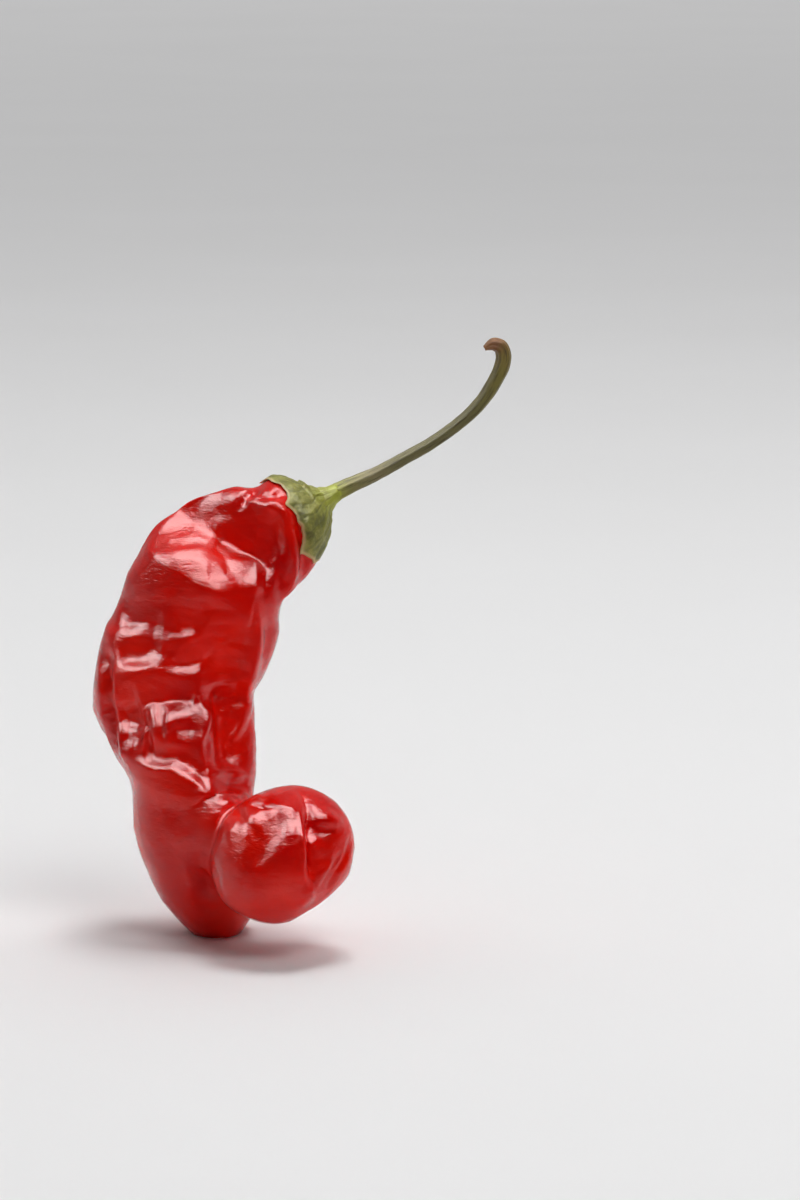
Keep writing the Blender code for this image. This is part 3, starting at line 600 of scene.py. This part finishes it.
@dataclass
class NodeBoard:
    """A material's node tree, with short calls for the nodes that the finishes share."""

    tree: bpy.types.NodeTree

    def add(self, kind: str, **settings: object) -> bpy.types.Node:
        """Adds a node.

        Args:
            kind: The node's type.
            **settings: The node's own properties.

        Returns:
            The node.
        """
        node = self.tree.nodes.new(kind)
        for name, value in settings.items():
            setattr(node, name, value)
        return node

    def join(self, source: Socket, target: Socket) -> None:
        """Links one socket to another."""
        self.tree.links.new(source, target)

    def place(self, scale: Triple = (1.0, 1.0, 1.0)) -> Socket:
        """Reads Object coordinates.

        Args:
            scale: How much finer a pattern gets along each axis.

        Returns:
            The scaled place.
        """
        where = self.add("ShaderNodeTexCoord")
        mapping = self.add("ShaderNodeMapping")
        mapping.inputs["Scale"].default_value = scale
        self.join(where.outputs["Object"], mapping.inputs["Vector"])
        return mapping.outputs["Vector"]

    def noise(self, where: Socket, scale: float, detail: float, roughness: float = 0.5) -> Socket:
        """Adds a noise texture.

        Args:
            where: The place that it is read at.
            scale: How fine its pattern is.
            detail: How many finer layers it has.
            roughness: How strong the finer layers are.

        Returns:
            Its value, about 0 to 1.
        """
        node = self.add("ShaderNodeTexNoise")
        node.inputs["Scale"].default_value = scale
        node.inputs["Detail"].default_value = detail
        node.inputs["Roughness"].default_value = roughness
        self.join(where, node.inputs["Vector"])
        return node.outputs["Fac"]

    def attribute(self, name: str) -> Socket:
        """Gives the value of a mesh attribute."""
        return self.add("ShaderNodeAttribute", attribute_name=name).outputs["Fac"]

    def ramp(self, value: Socket, stops: Sequence[tuple[float, Triple]]) -> Socket:
        """Turns a value into a colour.

        Args:
            value: The value.
            stops: The value and the colour of each stop.

        Returns:
            The colour.
        """
        node = self.add("ShaderNodeValToRGB")
        elements = node.color_ramp.elements
        while len(elements) < len(stops):
            elements.new(1.0)
        for element, (place, colour) in zip(elements, stops):
            element.position = place
            element.color = (*colour, 1.0)
        self.join(value, node.inputs["Fac"])
        return node.outputs["Color"]

    def spread(self, value: Socket, low: float, high: float, start: float, end: float) -> Socket:
        """Maps a value to another range, held at both ends.

        Args:
            value: The value.
            low: Where the new value is start.
            high: Where the new value is end.
            start: The new value at low.
            end: The new value at high.

        Returns:
            The new value.
        """
        node = self.add("ShaderNodeMapRange")
        for name, number in (("From Min", low), ("From Max", high), ("To Min", start), ("To Max", end)):
            node.inputs[name].default_value = number
        self.join(value, node.inputs["Value"])
        return node.outputs["Result"]

    def mix(self, share: Socket, under: Socket, over: Triple) -> Socket:
        """Lays a plain colour over another one.

        Args:
            share: How much of the plain colour shows.
            under: The colour under it.
            over: The plain colour.

        Returns:
            The mixed colour.
        """
        node = self.add("ShaderNodeMix", data_type="RGBA")
        self.join(share, node.inputs["Factor"])
        first, second = (item for item in node.inputs if item.type == "RGBA")
        self.join(under, first)
        second.default_value = (*over, 1.0)
        return next(item for item in node.outputs if item.type == "RGBA")

    def times(self, first: Socket, second: Socket | float) -> Socket:
        """Multiplies a value.

        Args:
            first: The value.
            second: Another value, or a number.

        Returns:
            The product.
        """
        node = self.add("ShaderNodeMath", operation="MULTIPLY")
        self.join(first, node.inputs[0])
        if isinstance(second, float):
            node.inputs[1].default_value = second
        else:
            self.join(second, node.inputs[1])
        return node.outputs[0]

    def bump(self, height: Socket, depth: float, strength: float, before: Socket | None = None) -> Socket:
        """Adds a bump.

        Args:
            height: The value that gives its relief.
            depth: How deep the relief is, in metres.
            strength: How much of it shows.
            before: The normal of a bump that it lies on.

        Returns:
            The new normal.
        """
        node = self.add("ShaderNodeBump")
        node.inputs["Strength"].default_value = strength
        node.inputs["Distance"].default_value = depth
        self.join(height, node.inputs["Height"])
        if before is not None:
            self.join(before, node.inputs["Normal"])
        return node.outputs["Normal"]


def new_finish(name: str) -> tuple[bpy.types.Material, NodeBoard, bpy.types.Node]:
    """Makes a new material.

    Args:
        name: The material's name.

    Returns:
        The material, its node board and its shader.
    """
    material = bpy.data.materials.new(name)
    material.use_nodes = True
    board = NodeBoard(material.node_tree)
    return material, board, material.node_tree.nodes["Principled BSDF"]


@dataclass(frozen=True)
class WaxySkin:
    """The pod's finish: deep red under a thin gloss, with fine pores and streaks.

    A depth is in metres, and a scale says how fine its pattern is, as in the other finishes.
    """

    deep: Triple = (0.60, 0.0005, 0.0004)
    bright: Triple = (0.88, 0.0080, 0.0006)
    patch_scale: float = 55.0
    streak_stretch: Triple = (1.0, 1.0, 2.6)
    grain_scale: float = 900.0
    grain_depth: float = 0.00012
    ripple_scale: float = 240.0
    ripple_depth: float = 0.00024
    smoothest: float = 0.10
    roughest: float = 0.18
    refraction: float = 1.46
    gloss_tint: tuple[float, float, float, float] = (1.0, 0.93, 0.92, 1.0)
    glow_share: float = 0.12
    glow_reach: Triple = (1.0, 0.12, 0.06)
    glow_depth: float = 0.0016

    def material(self) -> bpy.types.Material:
        """Builds the material.

        Returns:
            The material.
        """
        material, board, shader = new_finish("pod_skin")
        patches = board.noise(board.place(), self.patch_scale, 3.0)
        red = board.ramp(patches, ((0.30, self.deep), (0.70, self.bright)))
        board.join(red, shader.inputs["Base Color"])
        streaks = board.place(self.streak_stretch)
        grain = board.noise(streaks, self.grain_scale, 4.0, 0.62)
        rough = board.spread(grain, 0.3, 0.7, self.smoothest, self.roughest)
        board.join(rough, shader.inputs["Roughness"])
        ripples = board.bump(board.noise(streaks, self.ripple_scale, 4.0, 0.6), self.ripple_depth, 0.6)
        board.join(board.bump(grain, self.grain_depth, 0.9, ripples), shader.inputs["Normal"])
        shader.inputs["Subsurface Weight"].default_value = self.glow_share
        shader.inputs["Subsurface Radius"].default_value = self.glow_reach
        shader.inputs["Subsurface Scale"].default_value = self.glow_depth
        shader.inputs["IOR"].default_value = self.refraction
        shader.inputs["Specular Tint"].default_value = self.gloss_tint
        return material


@dataclass(frozen=True)
class CalyxLeaf:
    """The calyx's finish: a veined olive skin, yellow-green where the stem begins, dry at the rim and with
    painted shade in its creases.
    """

    shade: Triple = (0.085, 0.085, 0.018)
    green: Triple = (0.190, 0.185, 0.030)
    pale: Triple = (0.380, 0.370, 0.090)
    fresh: Triple = (0.420, 0.450, 0.040)
    dry: Triple = (0.600, 0.440, 0.200)
    mottle_scale: float = 380.0
    mottle_depth: float = 0.00026
    patch_scale: float = 170.0
    cell_scale: float = 1500.0
    cell_depth: float = 0.00009
    vein_strength: float = 0.45
    crease_shade_strength: float = 0.6
    roughness: float = 0.46
    gloss: float = 0.30
    glow_share: float = 0.05
    glow_depth: float = 0.0006

    def colour(self, board: NodeBoard, where: Socket, mottle: Socket) -> Socket:
        """Lays the colours over each other: mottled green, fresh neck, veins, painted shade in the creases
        and dry rim.

        Args:
            board: The material's node board.
            where: The place that patterns are read at.
            mottle: The fine mottle's value.

        Returns:
            The colour.
        """
        colour = board.ramp(mottle, ((0.30, self.shade), (0.48, self.green), (0.70, self.pale)))
        share = board.attribute("share")
        patches = board.spread(board.noise(where, self.patch_scale, 2.0), 0.38, 0.58, 0.3, 1.0)
        neck = board.times(board.spread(share, 0.14, 0.60, 1.0, 0.0), patches)
        colour = board.mix(neck, colour, self.fresh)
        veins = board.times(board.attribute("vein"), self.vein_strength)
        colour = board.mix(veins, colour, self.pale)
        # Painted shade: the sunk creases are darkened towards the shade colour.
        creases = board.times(board.attribute("crease"), self.crease_shade_strength)
        colour = board.mix(creases, colour, self.shade)
        return board.mix(board.spread(share, 0.955, 0.985, 0.0, 1.0), colour, self.dry)

    def material(self) -> bpy.types.Material:
        """Builds the material.

        Returns:
            The material.
        """
        material, board, shader = new_finish("calyx_leaf")
        where = board.place()
        mottle = board.noise(where, self.mottle_scale, 6.0, 0.68)
        board.join(self.colour(board, where, mottle), shader.inputs["Base Color"])
        shader.inputs["Roughness"].default_value = self.roughness
        shader.inputs["Specular IOR Level"].default_value = self.gloss
        shader.inputs["Subsurface Weight"].default_value = self.glow_share
        shader.inputs["Subsurface Scale"].default_value = self.glow_depth
        cells = board.bump(board.noise(where, self.cell_scale, 3.0, 0.6), self.cell_depth, 0.8)
        board.join(board.bump(mottle, self.mottle_depth, 0.8, cells), shader.inputs["Normal"])
        return material


@dataclass(frozen=True)
class StemBark:
    """The stem's finish: olive with lengthwise streaks of painted shade in the grooves of its fibres, golden
    near the hook, and a brown cut.

    Stages are places along the stem, from 0 at the calyx to 1 at the cut, and their colours.
    """

    stages: tuple[tuple[float, Triple], ...] = (
        (0.00, (0.360, 0.360, 0.060)),
        (0.05, (0.230, 0.210, 0.060)),
        (0.16, (0.240, 0.200, 0.090)),
        (0.26, (0.170, 0.150, 0.058)),
        (0.60, (0.160, 0.140, 0.050)),
        (0.80, (0.210, 0.175, 0.036)),
        (0.90, (0.240, 0.170, 0.038)),
        (0.95, (0.200, 0.075, 0.022)),
        (1.00, (0.380, 0.160, 0.040)),
    )
    groove_shade: Triple = (0.055, 0.045, 0.018)
    scar: Triple = (0.340, 0.210, 0.110)
    fibre_length: float = 3.0
    fibre_scale: float = 3.4
    fibre_depth: float = 0.00030
    scar_scale: float = 110.0
    grain_scale: float = 1300.0
    grain_depth: float = 0.00008
    roughness: float = 0.44
    gloss: float = 0.30

    def material(self) -> bpy.types.Material:
        """Builds the material.

        Returns:
            The material.
        """
        material, board, shader = new_finish("stem_bark")
        where = board.place()
        along = board.attribute("along")
        lengthwise = board.add("ShaderNodeCombineXYZ")
        board.join(board.attribute("round_x"), lengthwise.inputs["X"])
        board.join(board.attribute("round_y"), lengthwise.inputs["Y"])
        board.join(board.times(along, self.fibre_length), lengthwise.inputs["Z"])
        fibres = board.noise(lengthwise.outputs["Vector"], self.fibre_scale, 5.0, 0.62)
        # Painted shade: where the fibre relief is lowest, in its grooves, the colour is darkened in
        # lengthwise streaks.
        streaks = board.spread(fibres, 0.50, 0.34, 0.0, 0.75)
        colour = board.mix(streaks, board.ramp(along, self.stages), self.groove_shade)
        scars = board.spread(board.noise(where, self.scar_scale, 3.0), 0.60, 0.66, 0.0, 0.7)
        board.join(board.mix(scars, colour, self.scar), shader.inputs["Base Color"])
        shader.inputs["Roughness"].default_value = self.roughness
        shader.inputs["Specular IOR Level"].default_value = self.gloss
        grain = board.bump(board.noise(where, self.grain_scale, 3.0), self.grain_depth, 0.7)
        board.join(board.bump(fibres, self.fibre_depth, 0.8, grain), shader.inputs["Normal"])
        return material


@dataclass(frozen=True)
class MattPaper:
    """The floor's finish: pale matt paper with faint patches and a fine grain."""

    pale: Triple = (0.790, 0.790, 0.795)
    shade: Triple = (0.772, 0.772, 0.776)
    patch_scale: float = 6.0
    grain_scale: float = 1800.0
    grain_depth: float = 0.00004
    roughness: float = 0.9
    gloss: float = 0.1

    def material(self) -> bpy.types.Material:
        """Builds the material.

        Returns:
            The material.
        """
        material, board, shader = new_finish("paper")
        where = board.place()
        patches = board.noise(where, self.patch_scale, 4.0)
        board.join(board.ramp(patches, ((0.2, self.shade), (0.8, self.pale))), shader.inputs["Base Color"])
        grain = board.bump(board.noise(where, self.grain_scale, 2.0), self.grain_depth, 0.4)
        board.join(grain, shader.inputs["Normal"])
        shader.inputs["Roughness"].default_value = self.roughness
        shader.inputs["Specular IOR Level"].default_value = self.gloss
        return material


def finished_piece(
    name: str, mesh: bpy.types.Mesh, material: bpy.types.Material, node: str
) -> bpy.types.Object:
    """Puts a piece in the scene in metres, in the place of one CAD node.

    Args:
        name: The piece's name.
        mesh: Its mesh, in millimetres in the drawing frame.
        material: Its finish.
        node: The CAD node that it stands for.

    Returns:
        The new object.
    """
    mesh.transform(Matrix.Scale(MM, 4) @ Matrix.Translation(-FLOOR_POINT))
    mesh.materials.clear()
    mesh.materials.append(material)
    mesh.shade_smooth()
    piece = bpy.data.objects.new(name, mesh)
    bpy.context.scene.collection.objects.link(piece)
    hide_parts(node)
    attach(piece, "root")
    return piece


@dataclass
class Pod:
    """The red fruit: one skin over its body, its neck and its round tip, then folded.

    Lengths are millimetres. An easing is how many rings on each side share a ring's direction.
    """

    voxel: float = 0.42
    ring_sides: int = 64
    body_rings: int = 90
    body_easing: int = 7
    neck_rings: int = 24
    neck_easing: int = 1
    blend_rounds: int = 20
    tip_centre: Triple = (17.2, -20.0, 22.3)
    tip_half_size: Triple = (15.8, 14.6, 13.8)
    tip_turn: float = math.radians(-35.0)
    swells: tuple[Crumple, ...] = (
        Crumple(0.20, (19.0, 19.0, 13.0)),
        Crumple(0.04, (9.0, 9.0, 5.5), 3.0),
    )
    crumples: tuple[Crumple, ...] = (
        Crumple(0.025, (4.8, 4.8, 2.6), 7.0),
        Crumple(0.014, (2.2, 2.2, 1.2), 11.0),
    )
    skin: WaxySkin = field(default_factory=WaxySkin)
    mesh: bpy.types.Mesh = field(init=False)

    def unfolded(self) -> bpy.types.Mesh:
        """Makes the smooth body, neck and tip one skin.

        Returns:
            The skin before its folds.
        """
        shape = bmesh.new()
        body = smooth_line(np.array([station.row() for station in BODY]), self.body_rings)
        neck = smooth_line(np.array([station.row() for station in NECK]), self.neck_rings)
        add_tube(shape, ring_frames(body, self.body_easing), self.ring_sides)
        add_tube(shape, ring_frames(neck, self.neck_easing), self.ring_sides)
        tip = Matrix.Translation(self.tip_centre) @ Matrix.Rotation(self.tip_turn, 4, "Y")
        tip = tip @ Matrix.Diagonal((*self.tip_half_size, 1.0))
        sides = self.ring_sides
        bmesh.ops.create_uvsphere(shape, u_segments=sides, v_segments=sides // 2, radius=1.0, matrix=tip)
        bmesh.ops.recalc_face_normals(shape, faces=shape.faces)
        skin = modified(mesh_of(shape, "pod_skin"), "REMESH", mode="VOXEL", voxel_size=self.voxel)
        return smoothed(skin, self.blend_rounds)

    def wrinkled(self) -> bpy.types.Mesh:
        """Folds the skin, from the large forms to the fine wrinkles.

        Returns:
            The folded skin.
        """
        skin = self.unfolded()
        ridges = (*SHOULDER_RIDGES, *MIDDLE_RIDGES, *LOBE_RIDGES, *TIP_RIDGES, *OTHER_RIDGES)
        for folds, crumples, rounds in (
            ((*FRONT_FORMS, *OTHER_FORMS), self.swells, 4),
            (ridges, (), 2),
            ((), self.crumples, 1),
        ):
            surface = Surface(skin)
            for fold in folds:
                surface.fold(fold)
            surface.crumple(crumples)
            surface.settle()
            skin = smoothed(skin, rounds)
        return skin

    def build(self) -> None:
        """Builds the pod's mesh and cuts its foot flat where it rests."""
        shape = bmesh.new()
        shape.from_mesh(self.wrinkled())
        everything = [*shape.verts, *shape.edges, *shape.faces]
        cut = bmesh.ops.bisect_plane(
            shape, geom=everything, plane_co=FLOOR_POINT, plane_no=(0.0, 0.0, -1.0), clear_outer=True
        )
        rim = [item for item in cut["geom_cut"] if isinstance(item, bmesh.types.BMEdge)]
        bmesh.ops.edgeloop_fill(shape, edges=rim)
        bmesh.ops.recalc_face_normals(shape, faces=shape.faces)
        self.mesh = mesh_of(shape, "pod_skin")

    def dress(self) -> bpy.types.Object:
        """Gives the pod its skin and its place in the scene."""
        return finished_piece("pod_skin", self.mesh, self.skin.material(), "pod")


@dataclass(frozen=True)
class FineLines:
    """Fine lines that run from the calyx's axis to its rim.

    Height is how far they stand out, in millimetres. Offset is where their bends are read in the
    noise, and it also turns them round the axis. Fade says how soon they show, going outwards.
    """

    count: int
    height: float
    offset: float
    bend: float = 0.26
    bends_round: float = 1.6
    bends_out: float = 3.0
    fade: float = 3.0

    def strength(self, turn: float, share: float) -> float:
        """Gives how strongly a line shows at a place on the cap.

        Args:
            turn: The angle round the calyx's axis.
            share: How far out the place is, from 0 at the axis to 1 at the rim.

        Returns:
            A strength from 0 to 1.
        """
        x, y = math.cos(turn) * self.bends_round, math.sin(turn) * self.bends_round
        bent = turn + self.bend * noise.noise(Vector((x, y, share * self.bends_out + self.offset)))
        wave = abs(math.sin(0.5 * self.count * bent + self.offset))
        return (1.0 - wave) ** 4 * min(1.0, self.fade * share)


@dataclass
class Calyx:
    """The green cap: a thin veined leaf laid over the pod's shoulder, flared to meet the stem.

    Axis is the way the stem grows, and heart the point in the shoulder that the cap is measured from.
    Flare holds distances along the axis and radii, rim holds turns round the axis and tilts from it in
    degrees, and waves hold counts, shares of the reach and phases. Lengths are millimetres.
    """

    axis: Vector = field(default_factory=lambda: Vector((0.84, 0.20, 0.50)).normalized())
    heart: Vector = field(default_factory=lambda: Vector((19.2, 3.9, 89.9)))
    flare: Route = ((11.6, 1.8), (9.6, 2.1), (7.8, 3.0), (6.4, 4.6), (5.4, 6.4))
    rim: Route = (
        (0.0, 99.0),
        (30.0, 87.0),
        (60.0, 88.0),
        (90.0, 92.0),
        (120.0, 104.0),
        (150.0, 100.0),
        (180.0, 84.0),
        (225.0, 80.0),
        (270.0, 80.0),
        (315.0, 90.0),
    )
    waves: tuple[tuple[int, float, float], ...] = (
        (6, 0.035, 0.4),
        (11, 0.020, 2.1),
        (17, 0.012, 0.9),
        (29, 0.007, 0.3),
    )
    veins: FineLines = FineLines(11, 0.20, 4.0)
    creases: FineLines = FineLines(17, -0.22, 9.0)
    reach: float = math.radians(85.0)
    gap: float = 0.12
    thickness: float = 0.9
    rim_thinning: float = 0.62
    unevenness: float = 0.12
    uneven_scale: float = 9.0
    ray_length: float = 40.0
    spokes: int = 216
    rings: int = 60
    leaf: CalyxLeaf = field(default_factory=CalyxLeaf)
    mesh: bpy.types.Mesh = field(init=False)

    def axes(self) -> tuple[Vector, Vector]:
        """Gives two directions across the calyx, the first in the picture plane."""
        first = self.axis.cross(Vector((0.0, 1.0, 0.0))).normalized()
        return first, self.axis.cross(first).normalized()

    def tilt_at(self, turn: float, share: float) -> float:
        """Gives the angle from the axis at a place on the cap, whose rim is wavy.

        Args:
            turn: The angle round the calyx's axis.
            share: How far out the place is, from 0 at the axis to 1 at the rim.

        Returns:
            The angle from the axis.
        """
        turns, tilts = zip(*self.rim)
        edge = math.radians(float(np.interp(math.degrees(turn), turns, tilts, period=360.0)))
        wave = sum(size * math.sin(count * turn + phase) for count, size, phase in self.waves)
        return share * (self.reach + (edge - self.reach + self.reach * wave) * share**3)

    def flare_at(self, tilt: float) -> float:
        """Gives how far the flare reaches from the heart.

        Args:
            tilt: The angle from the axis.

        Returns:
            The distance, or 0 outside the flare.
        """
        end_along, end_radius = self.flare[0]
        if tilt < math.atan2(end_radius, end_along):
            return end_along / math.cos(tilt)
        tilts = [math.atan2(radius, along) for along, radius in self.flare]
        reaches = [math.hypot(radius, along) for along, radius in self.flare]
        return float(np.interp(tilt, tilts, reaches, right=0.0))

    def build(self, pod: Pod) -> None:
        """Lays the cap over the pod's skin, as a closed shell whose inner half follows the skin.

        Args:
            pod: The pod, which is built but not dressed yet.
        """
        shoulder = bmesh.new()
        shoulder.from_mesh(pod.mesh)
        surface = BVHTree.FromBMesh(shoulder)
        shoulder.free()
        first, second = self.axes()
        shape = bmesh.new()
        bmesh.ops.create_uvsphere(shape, u_segments=self.spokes, v_segments=2 * self.rings, radius=1.0)
        layers = [shape.verts.layers.float.new(name) for name in ("share", "vein", "crease")]
        for vert in shape.verts:
            polar = math.acos(max(-1.0, min(1.0, vert.co.z)))
            outside = polar <= 0.5 * math.pi + 1e-6
            share = (polar if outside else math.pi - polar) / (0.5 * math.pi)
            turn = math.atan2(vert.co.y, vert.co.x)
            tilt = self.tilt_at(turn, share)
            across = first * math.cos(turn) + second * math.sin(turn)
            ray = self.axis * math.cos(tilt) + across * math.sin(tilt)
            hit, _, _, _ = surface.ray_cast(self.heart + ray * self.ray_length, -ray)
            reach = (hit - self.heart).length + self.gap
            vein = self.veins.strength(turn, share)
            crease = self.creases.strength(turn, share)
            if outside:
                thickness = self.thickness * (1.0 - self.rim_thinning * share**4)
                lines = self.veins.height * vein + self.creases.height * crease
                reach = max(reach + thickness, self.flare_at(tilt))
                reach += lines * (1.0 - share**6)
                reach += self.unevenness * noise.noise(ray * self.uneven_scale)
            vert.co = self.heart + ray * reach
            for layer, value in zip(layers, (share, vein, crease)):
                vert[layer] = value
        bmesh.ops.recalc_face_normals(shape, faces=shape.faces)
        self.mesh = mesh_of(shape, "calyx_leaf")

    def dress(self) -> bpy.types.Object:
        """Gives the calyx its leaf finish and its place in the scene."""
        return finished_piece("calyx_leaf", self.mesh, self.leaf.material(), "calyx")


@dataclass
class Stem:
    """The ribbed stalk, from the calyx to its hooked and pinched end.

    Path holds places and half thicknesses in millimetres. A share is of the half thickness.
    """

    path: tuple[tuple[float, float, float, float], ...] = (
        (32.2, 7.2, 97.0, 1.62),
        (37.0, 8.4, 99.0, 1.42),
        (42.5, 9.2, 101.9, 1.32),
        (49.0, 9.4, 105.6, 1.28),
        (55.4, 9.0, 110.4, 1.30),
        (59.4, 8.4, 114.6, 1.38),
        (62.4, 7.8, 119.4, 1.50),
        (63.9, 7.4, 123.4, 1.56),
        (63.4, 7.2, 126.2, 1.50),
        (61.6, 7.0, 126.9, 1.30),
        (59.8, 6.9, 126.1, 0.50),
    )
    root_depth: float = 0.6
    sides: int = 40
    rings: int = 260
    easing: int = 5
    ribs: int = 5
    rib_share: float = 0.09
    twist: float = 1.3
    fine_ribs: int = 13
    fine_rib_share: float = 0.025
    fine_rib_phase: float = 2.0
    lump_share: float = 0.05
    lump_scale: float = 0.55
    bark: StemBark = field(default_factory=StemBark)
    mesh: bpy.types.Mesh = field(init=False)

    def swell(self, side: float, along: float, place: Vector) -> float:
        """Gives how much the stalk swells or shrinks at a place, from its ribs and its lumps.

        Args:
            side: The angle round the stalk.
            along: How far along the stalk the place is, from 0 to 1.
            place: The place on the plain stalk.

        Returns:
            The place's distance from the middle, as a share of the plain stalk's.
        """
        ribs = self.rib_share * math.cos(self.ribs * side + self.twist * along)
        fine_ribs = self.fine_rib_share * math.cos(self.fine_ribs * side + self.fine_rib_phase)
        return 1.0 + ribs + fine_ribs + self.lump_share * noise.noise(place * self.lump_scale)

    def build(self, calyx: Calyx) -> None:
        """Builds the stalk out of the calyx's end.

        Args:
            calyx: The calyx that it grows out of.
        """
        end_along, end_radius = calyx.flare[0]
        start = calyx.heart + calyx.axis * (end_along - self.root_depth)
        line = smooth_line(np.array([(*start, end_radius), *self.path]), self.rings)
        frames = ring_frames(np.column_stack([line, line[:, 3]]), self.easing)
        shape = bmesh.new()
        layers = [shape.verts.layers.float.new(name) for name in ("along", "round_x", "round_y")]
        for place, (ring, frame) in enumerate(zip(add_tube(shape, frames, self.sides), frames)):
            along = place / (self.rings - 1)
            middle = frame.translation
            flat = frame.inverted()
            for vert in ring:
                across = flat @ vert.co
                side = math.atan2(across.y, across.x)
                vert.co = middle + (vert.co - middle) * self.swell(side, along, vert.co)
                for layer, value in zip(layers, (along, math.cos(side), math.sin(side))):
                    vert[layer] = value
        bmesh.ops.recalc_face_normals(shape, faces=shape.faces)
        self.mesh = mesh_of(shape, "stem_stalk")

    def dress(self) -> bpy.types.Object:
        """Gives the stem its bark and its place in the scene."""
        return finished_piece("stem_stalk", self.mesh, self.bark.material(), "stem")


@dataclass(frozen=True)
class SoftLight:
    """A square soft light, which is seen in the skin's gloss alone or never in it.

    Size and places are in metres, and radiance is in watts for each square metre and steradian.
    """

    name: str
    size: float
    radiance: float
    place: Triple
    aim: Triple = (0.01, 0.0, 0.05)
    gloss_only: bool = False

    def hang(self) -> None:
        """Hangs the light and turns it to its aim."""
        data = bpy.data.lights.new(self.name, "AREA")
        data.size = self.size
        data.energy = self.radiance * math.pi * self.size * self.size
        light = bpy.data.objects.new(self.name, data)
        place = Vector(self.place)
        light.location = place
        light.rotation_mode = "QUATERNION"
        light.rotation_quaternion = (Vector(self.aim) - place).to_track_quat("-Z", "Y")
        light.visible_diffuse = not self.gloss_only
        light.visible_glossy = self.gloss_only
        bpy.context.scene.collection.objects.link(light)


@dataclass
class Studio:
    """The pale floor, the soft lights and the camera at the photograph's angle.

    Mirror_front is where the paper's seam lies, and room_fade how far behind the room is fully pale.
    """

    paper: MattPaper = field(default_factory=MattPaper)
    floor_half: float = 8.0
    mirror_front: float = -0.064
    lights: tuple[SoftLight, ...] = (
        SoftLight("gloss_above", 0.78, 12.5, (0.06, -0.21, 0.80), gloss_only=True),
        SoftLight("gloss_left", 0.52, 12.5, (-0.62, -0.16, 0.60), gloss_only=True),
        SoftLight("key_front", 0.64, 5.4, (0.54, -0.80, 1.25)),
        SoftLight("key_above", 0.42, 17.0, (0.13, 0.22, 1.40)),
        SoftLight("fill", 9.0, 0.80, (0.0, 5.2, 3.0), (0.0, 5.2, 0.0)),
    )
    room_tint: tuple[float, float, float, float] = (1.0, 0.985, 0.98, 1.0)
    room_dark: float = 0.012
    room_pale: float = 0.32
    room_fade: float = 0.6
    sight: float = 50.0

    def paper_sheet(
        self, name: str, low: Vector, high: Vector, finish: bpy.types.Material
    ) -> bpy.types.Object:
        """Lays one sheet of the paper.

        Args:
            name: The sheet's name.
            low: The corner with the lowest x and y.
            high: The opposite corner.
            finish: Its material.

        Returns:
            The sheet.
        """
        shape = bmesh.new()
        middle, size = 0.5 * (low + high), 0.5 * (high - low)
        place = Matrix.Translation(middle) @ Matrix.Diagonal((size.x, size.y, 1.0, 1.0))
        bmesh.ops.create_grid(shape, x_segments=2, y_segments=2, size=1.0, matrix=place)
        sheet = bpy.data.objects.new(name, mesh_of(shape, name))
        sheet.data.materials.append(finish)
        bpy.context.scene.collection.objects.link(sheet)
        return sheet

    def floor(self) -> None:
        """Lays the paper that the pepper stands on. The skin mirrors none of it in front of the seam."""
        finish = self.paper.material()
        half, seam = self.floor_half, self.mirror_front
        self.paper_sheet("paper_floor", Vector((-half, seam, 0.0)), Vector((half, half, 0.0)), finish)
        low, high = Vector((-half, -half, 0.0)), Vector((half, seam, 0.0))
        front = self.paper_sheet("paper_front", low, high, finish)
        front.visible_glossy = False

    def room(self) -> None:
        """Lights the room: pale behind the pepper and dark behind the camera."""
        world = bpy.data.worlds.new("room")
        bpy.context.scene.world = world
        world.use_nodes = True
        board = NodeBoard(world.node_tree)
        background = world.node_tree.nodes["Background"]
        split = board.add("ShaderNodeSeparateXYZ")
        board.join(board.add("ShaderNodeTexCoord").outputs["Generated"], split.inputs[0])
        strength = board.spread(split.outputs["Y"], 0.0, self.room_fade, self.room_dark, self.room_pale)
        board.join(strength, background.inputs["Strength"])
        background.inputs["Color"].default_value = self.room_tint

    def camera(self) -> None:
        """Sets the camera so that the drawing frame's picture plane is the photograph's."""
        up = Vector((0.0, math.sin(VIEW_TILT), math.cos(VIEW_TILT)))
        ahead = Vector((0.0, math.cos(VIEW_TILT), -math.sin(VIEW_TILT)))
        right_of_origin = 0.5 * PHOTO_SIZE[0] - PHOTO_ORIGIN[0]
        above_origin = PHOTO_ORIGIN[1] - 0.5 * PHOTO_SIZE[1]
        middle = Vector((right_of_origin, 0.0, 0.0)) + up * above_origin
        distance = MM_PER_PIXEL * PHOTO_SIZE[1] * LENS_MM / SENSOR_MM
        data = bpy.data.cameras.new("photo_camera")
        data.lens = LENS_MM
        data.sensor_width = SENSOR_MM
        data.clip_end = self.sight
        camera = bpy.data.objects.new("photo_camera", data)
        camera.location = (middle * MM_PER_PIXEL - FLOOR_POINT - ahead * distance) * MM
        camera.rotation_mode = "QUATERNION"
        camera.rotation_quaternion = ahead.to_track_quat("-Z", "Y")
        bpy.context.scene.collection.objects.link(camera)
        bpy.context.scene.camera = camera

    def build(self) -> None:
        """Sets up the whole studio."""
        self.floor()
        for light in self.lights:
            light.hang()
        self.room()
        self.camera()
        bpy.context.scene.view_settings.view_transform = "Standard"


def main() -> None:
    """Loads the frame and builds the pod, the calyx, the stem and the studio."""
    logging.basicConfig(level=logging.INFO, format="%(message)s")
    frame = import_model()
    LOG.info("frame: %s", ", ".join(sorted(frame["nodes"])))
    pod = Pod()
    pod.build()
    calyx = Calyx()
    calyx.build(pod)
    stem = Stem()
    stem.build(calyx)
    for part in (pod, calyx, stem):
        piece = part.dress()
        LOG.info("%s: %d vertices, %d faces", piece.name, len(piece.data.vertices), len(piece.data.polygons))
    Studio().build()


if __name__ == "__main__":
    main()
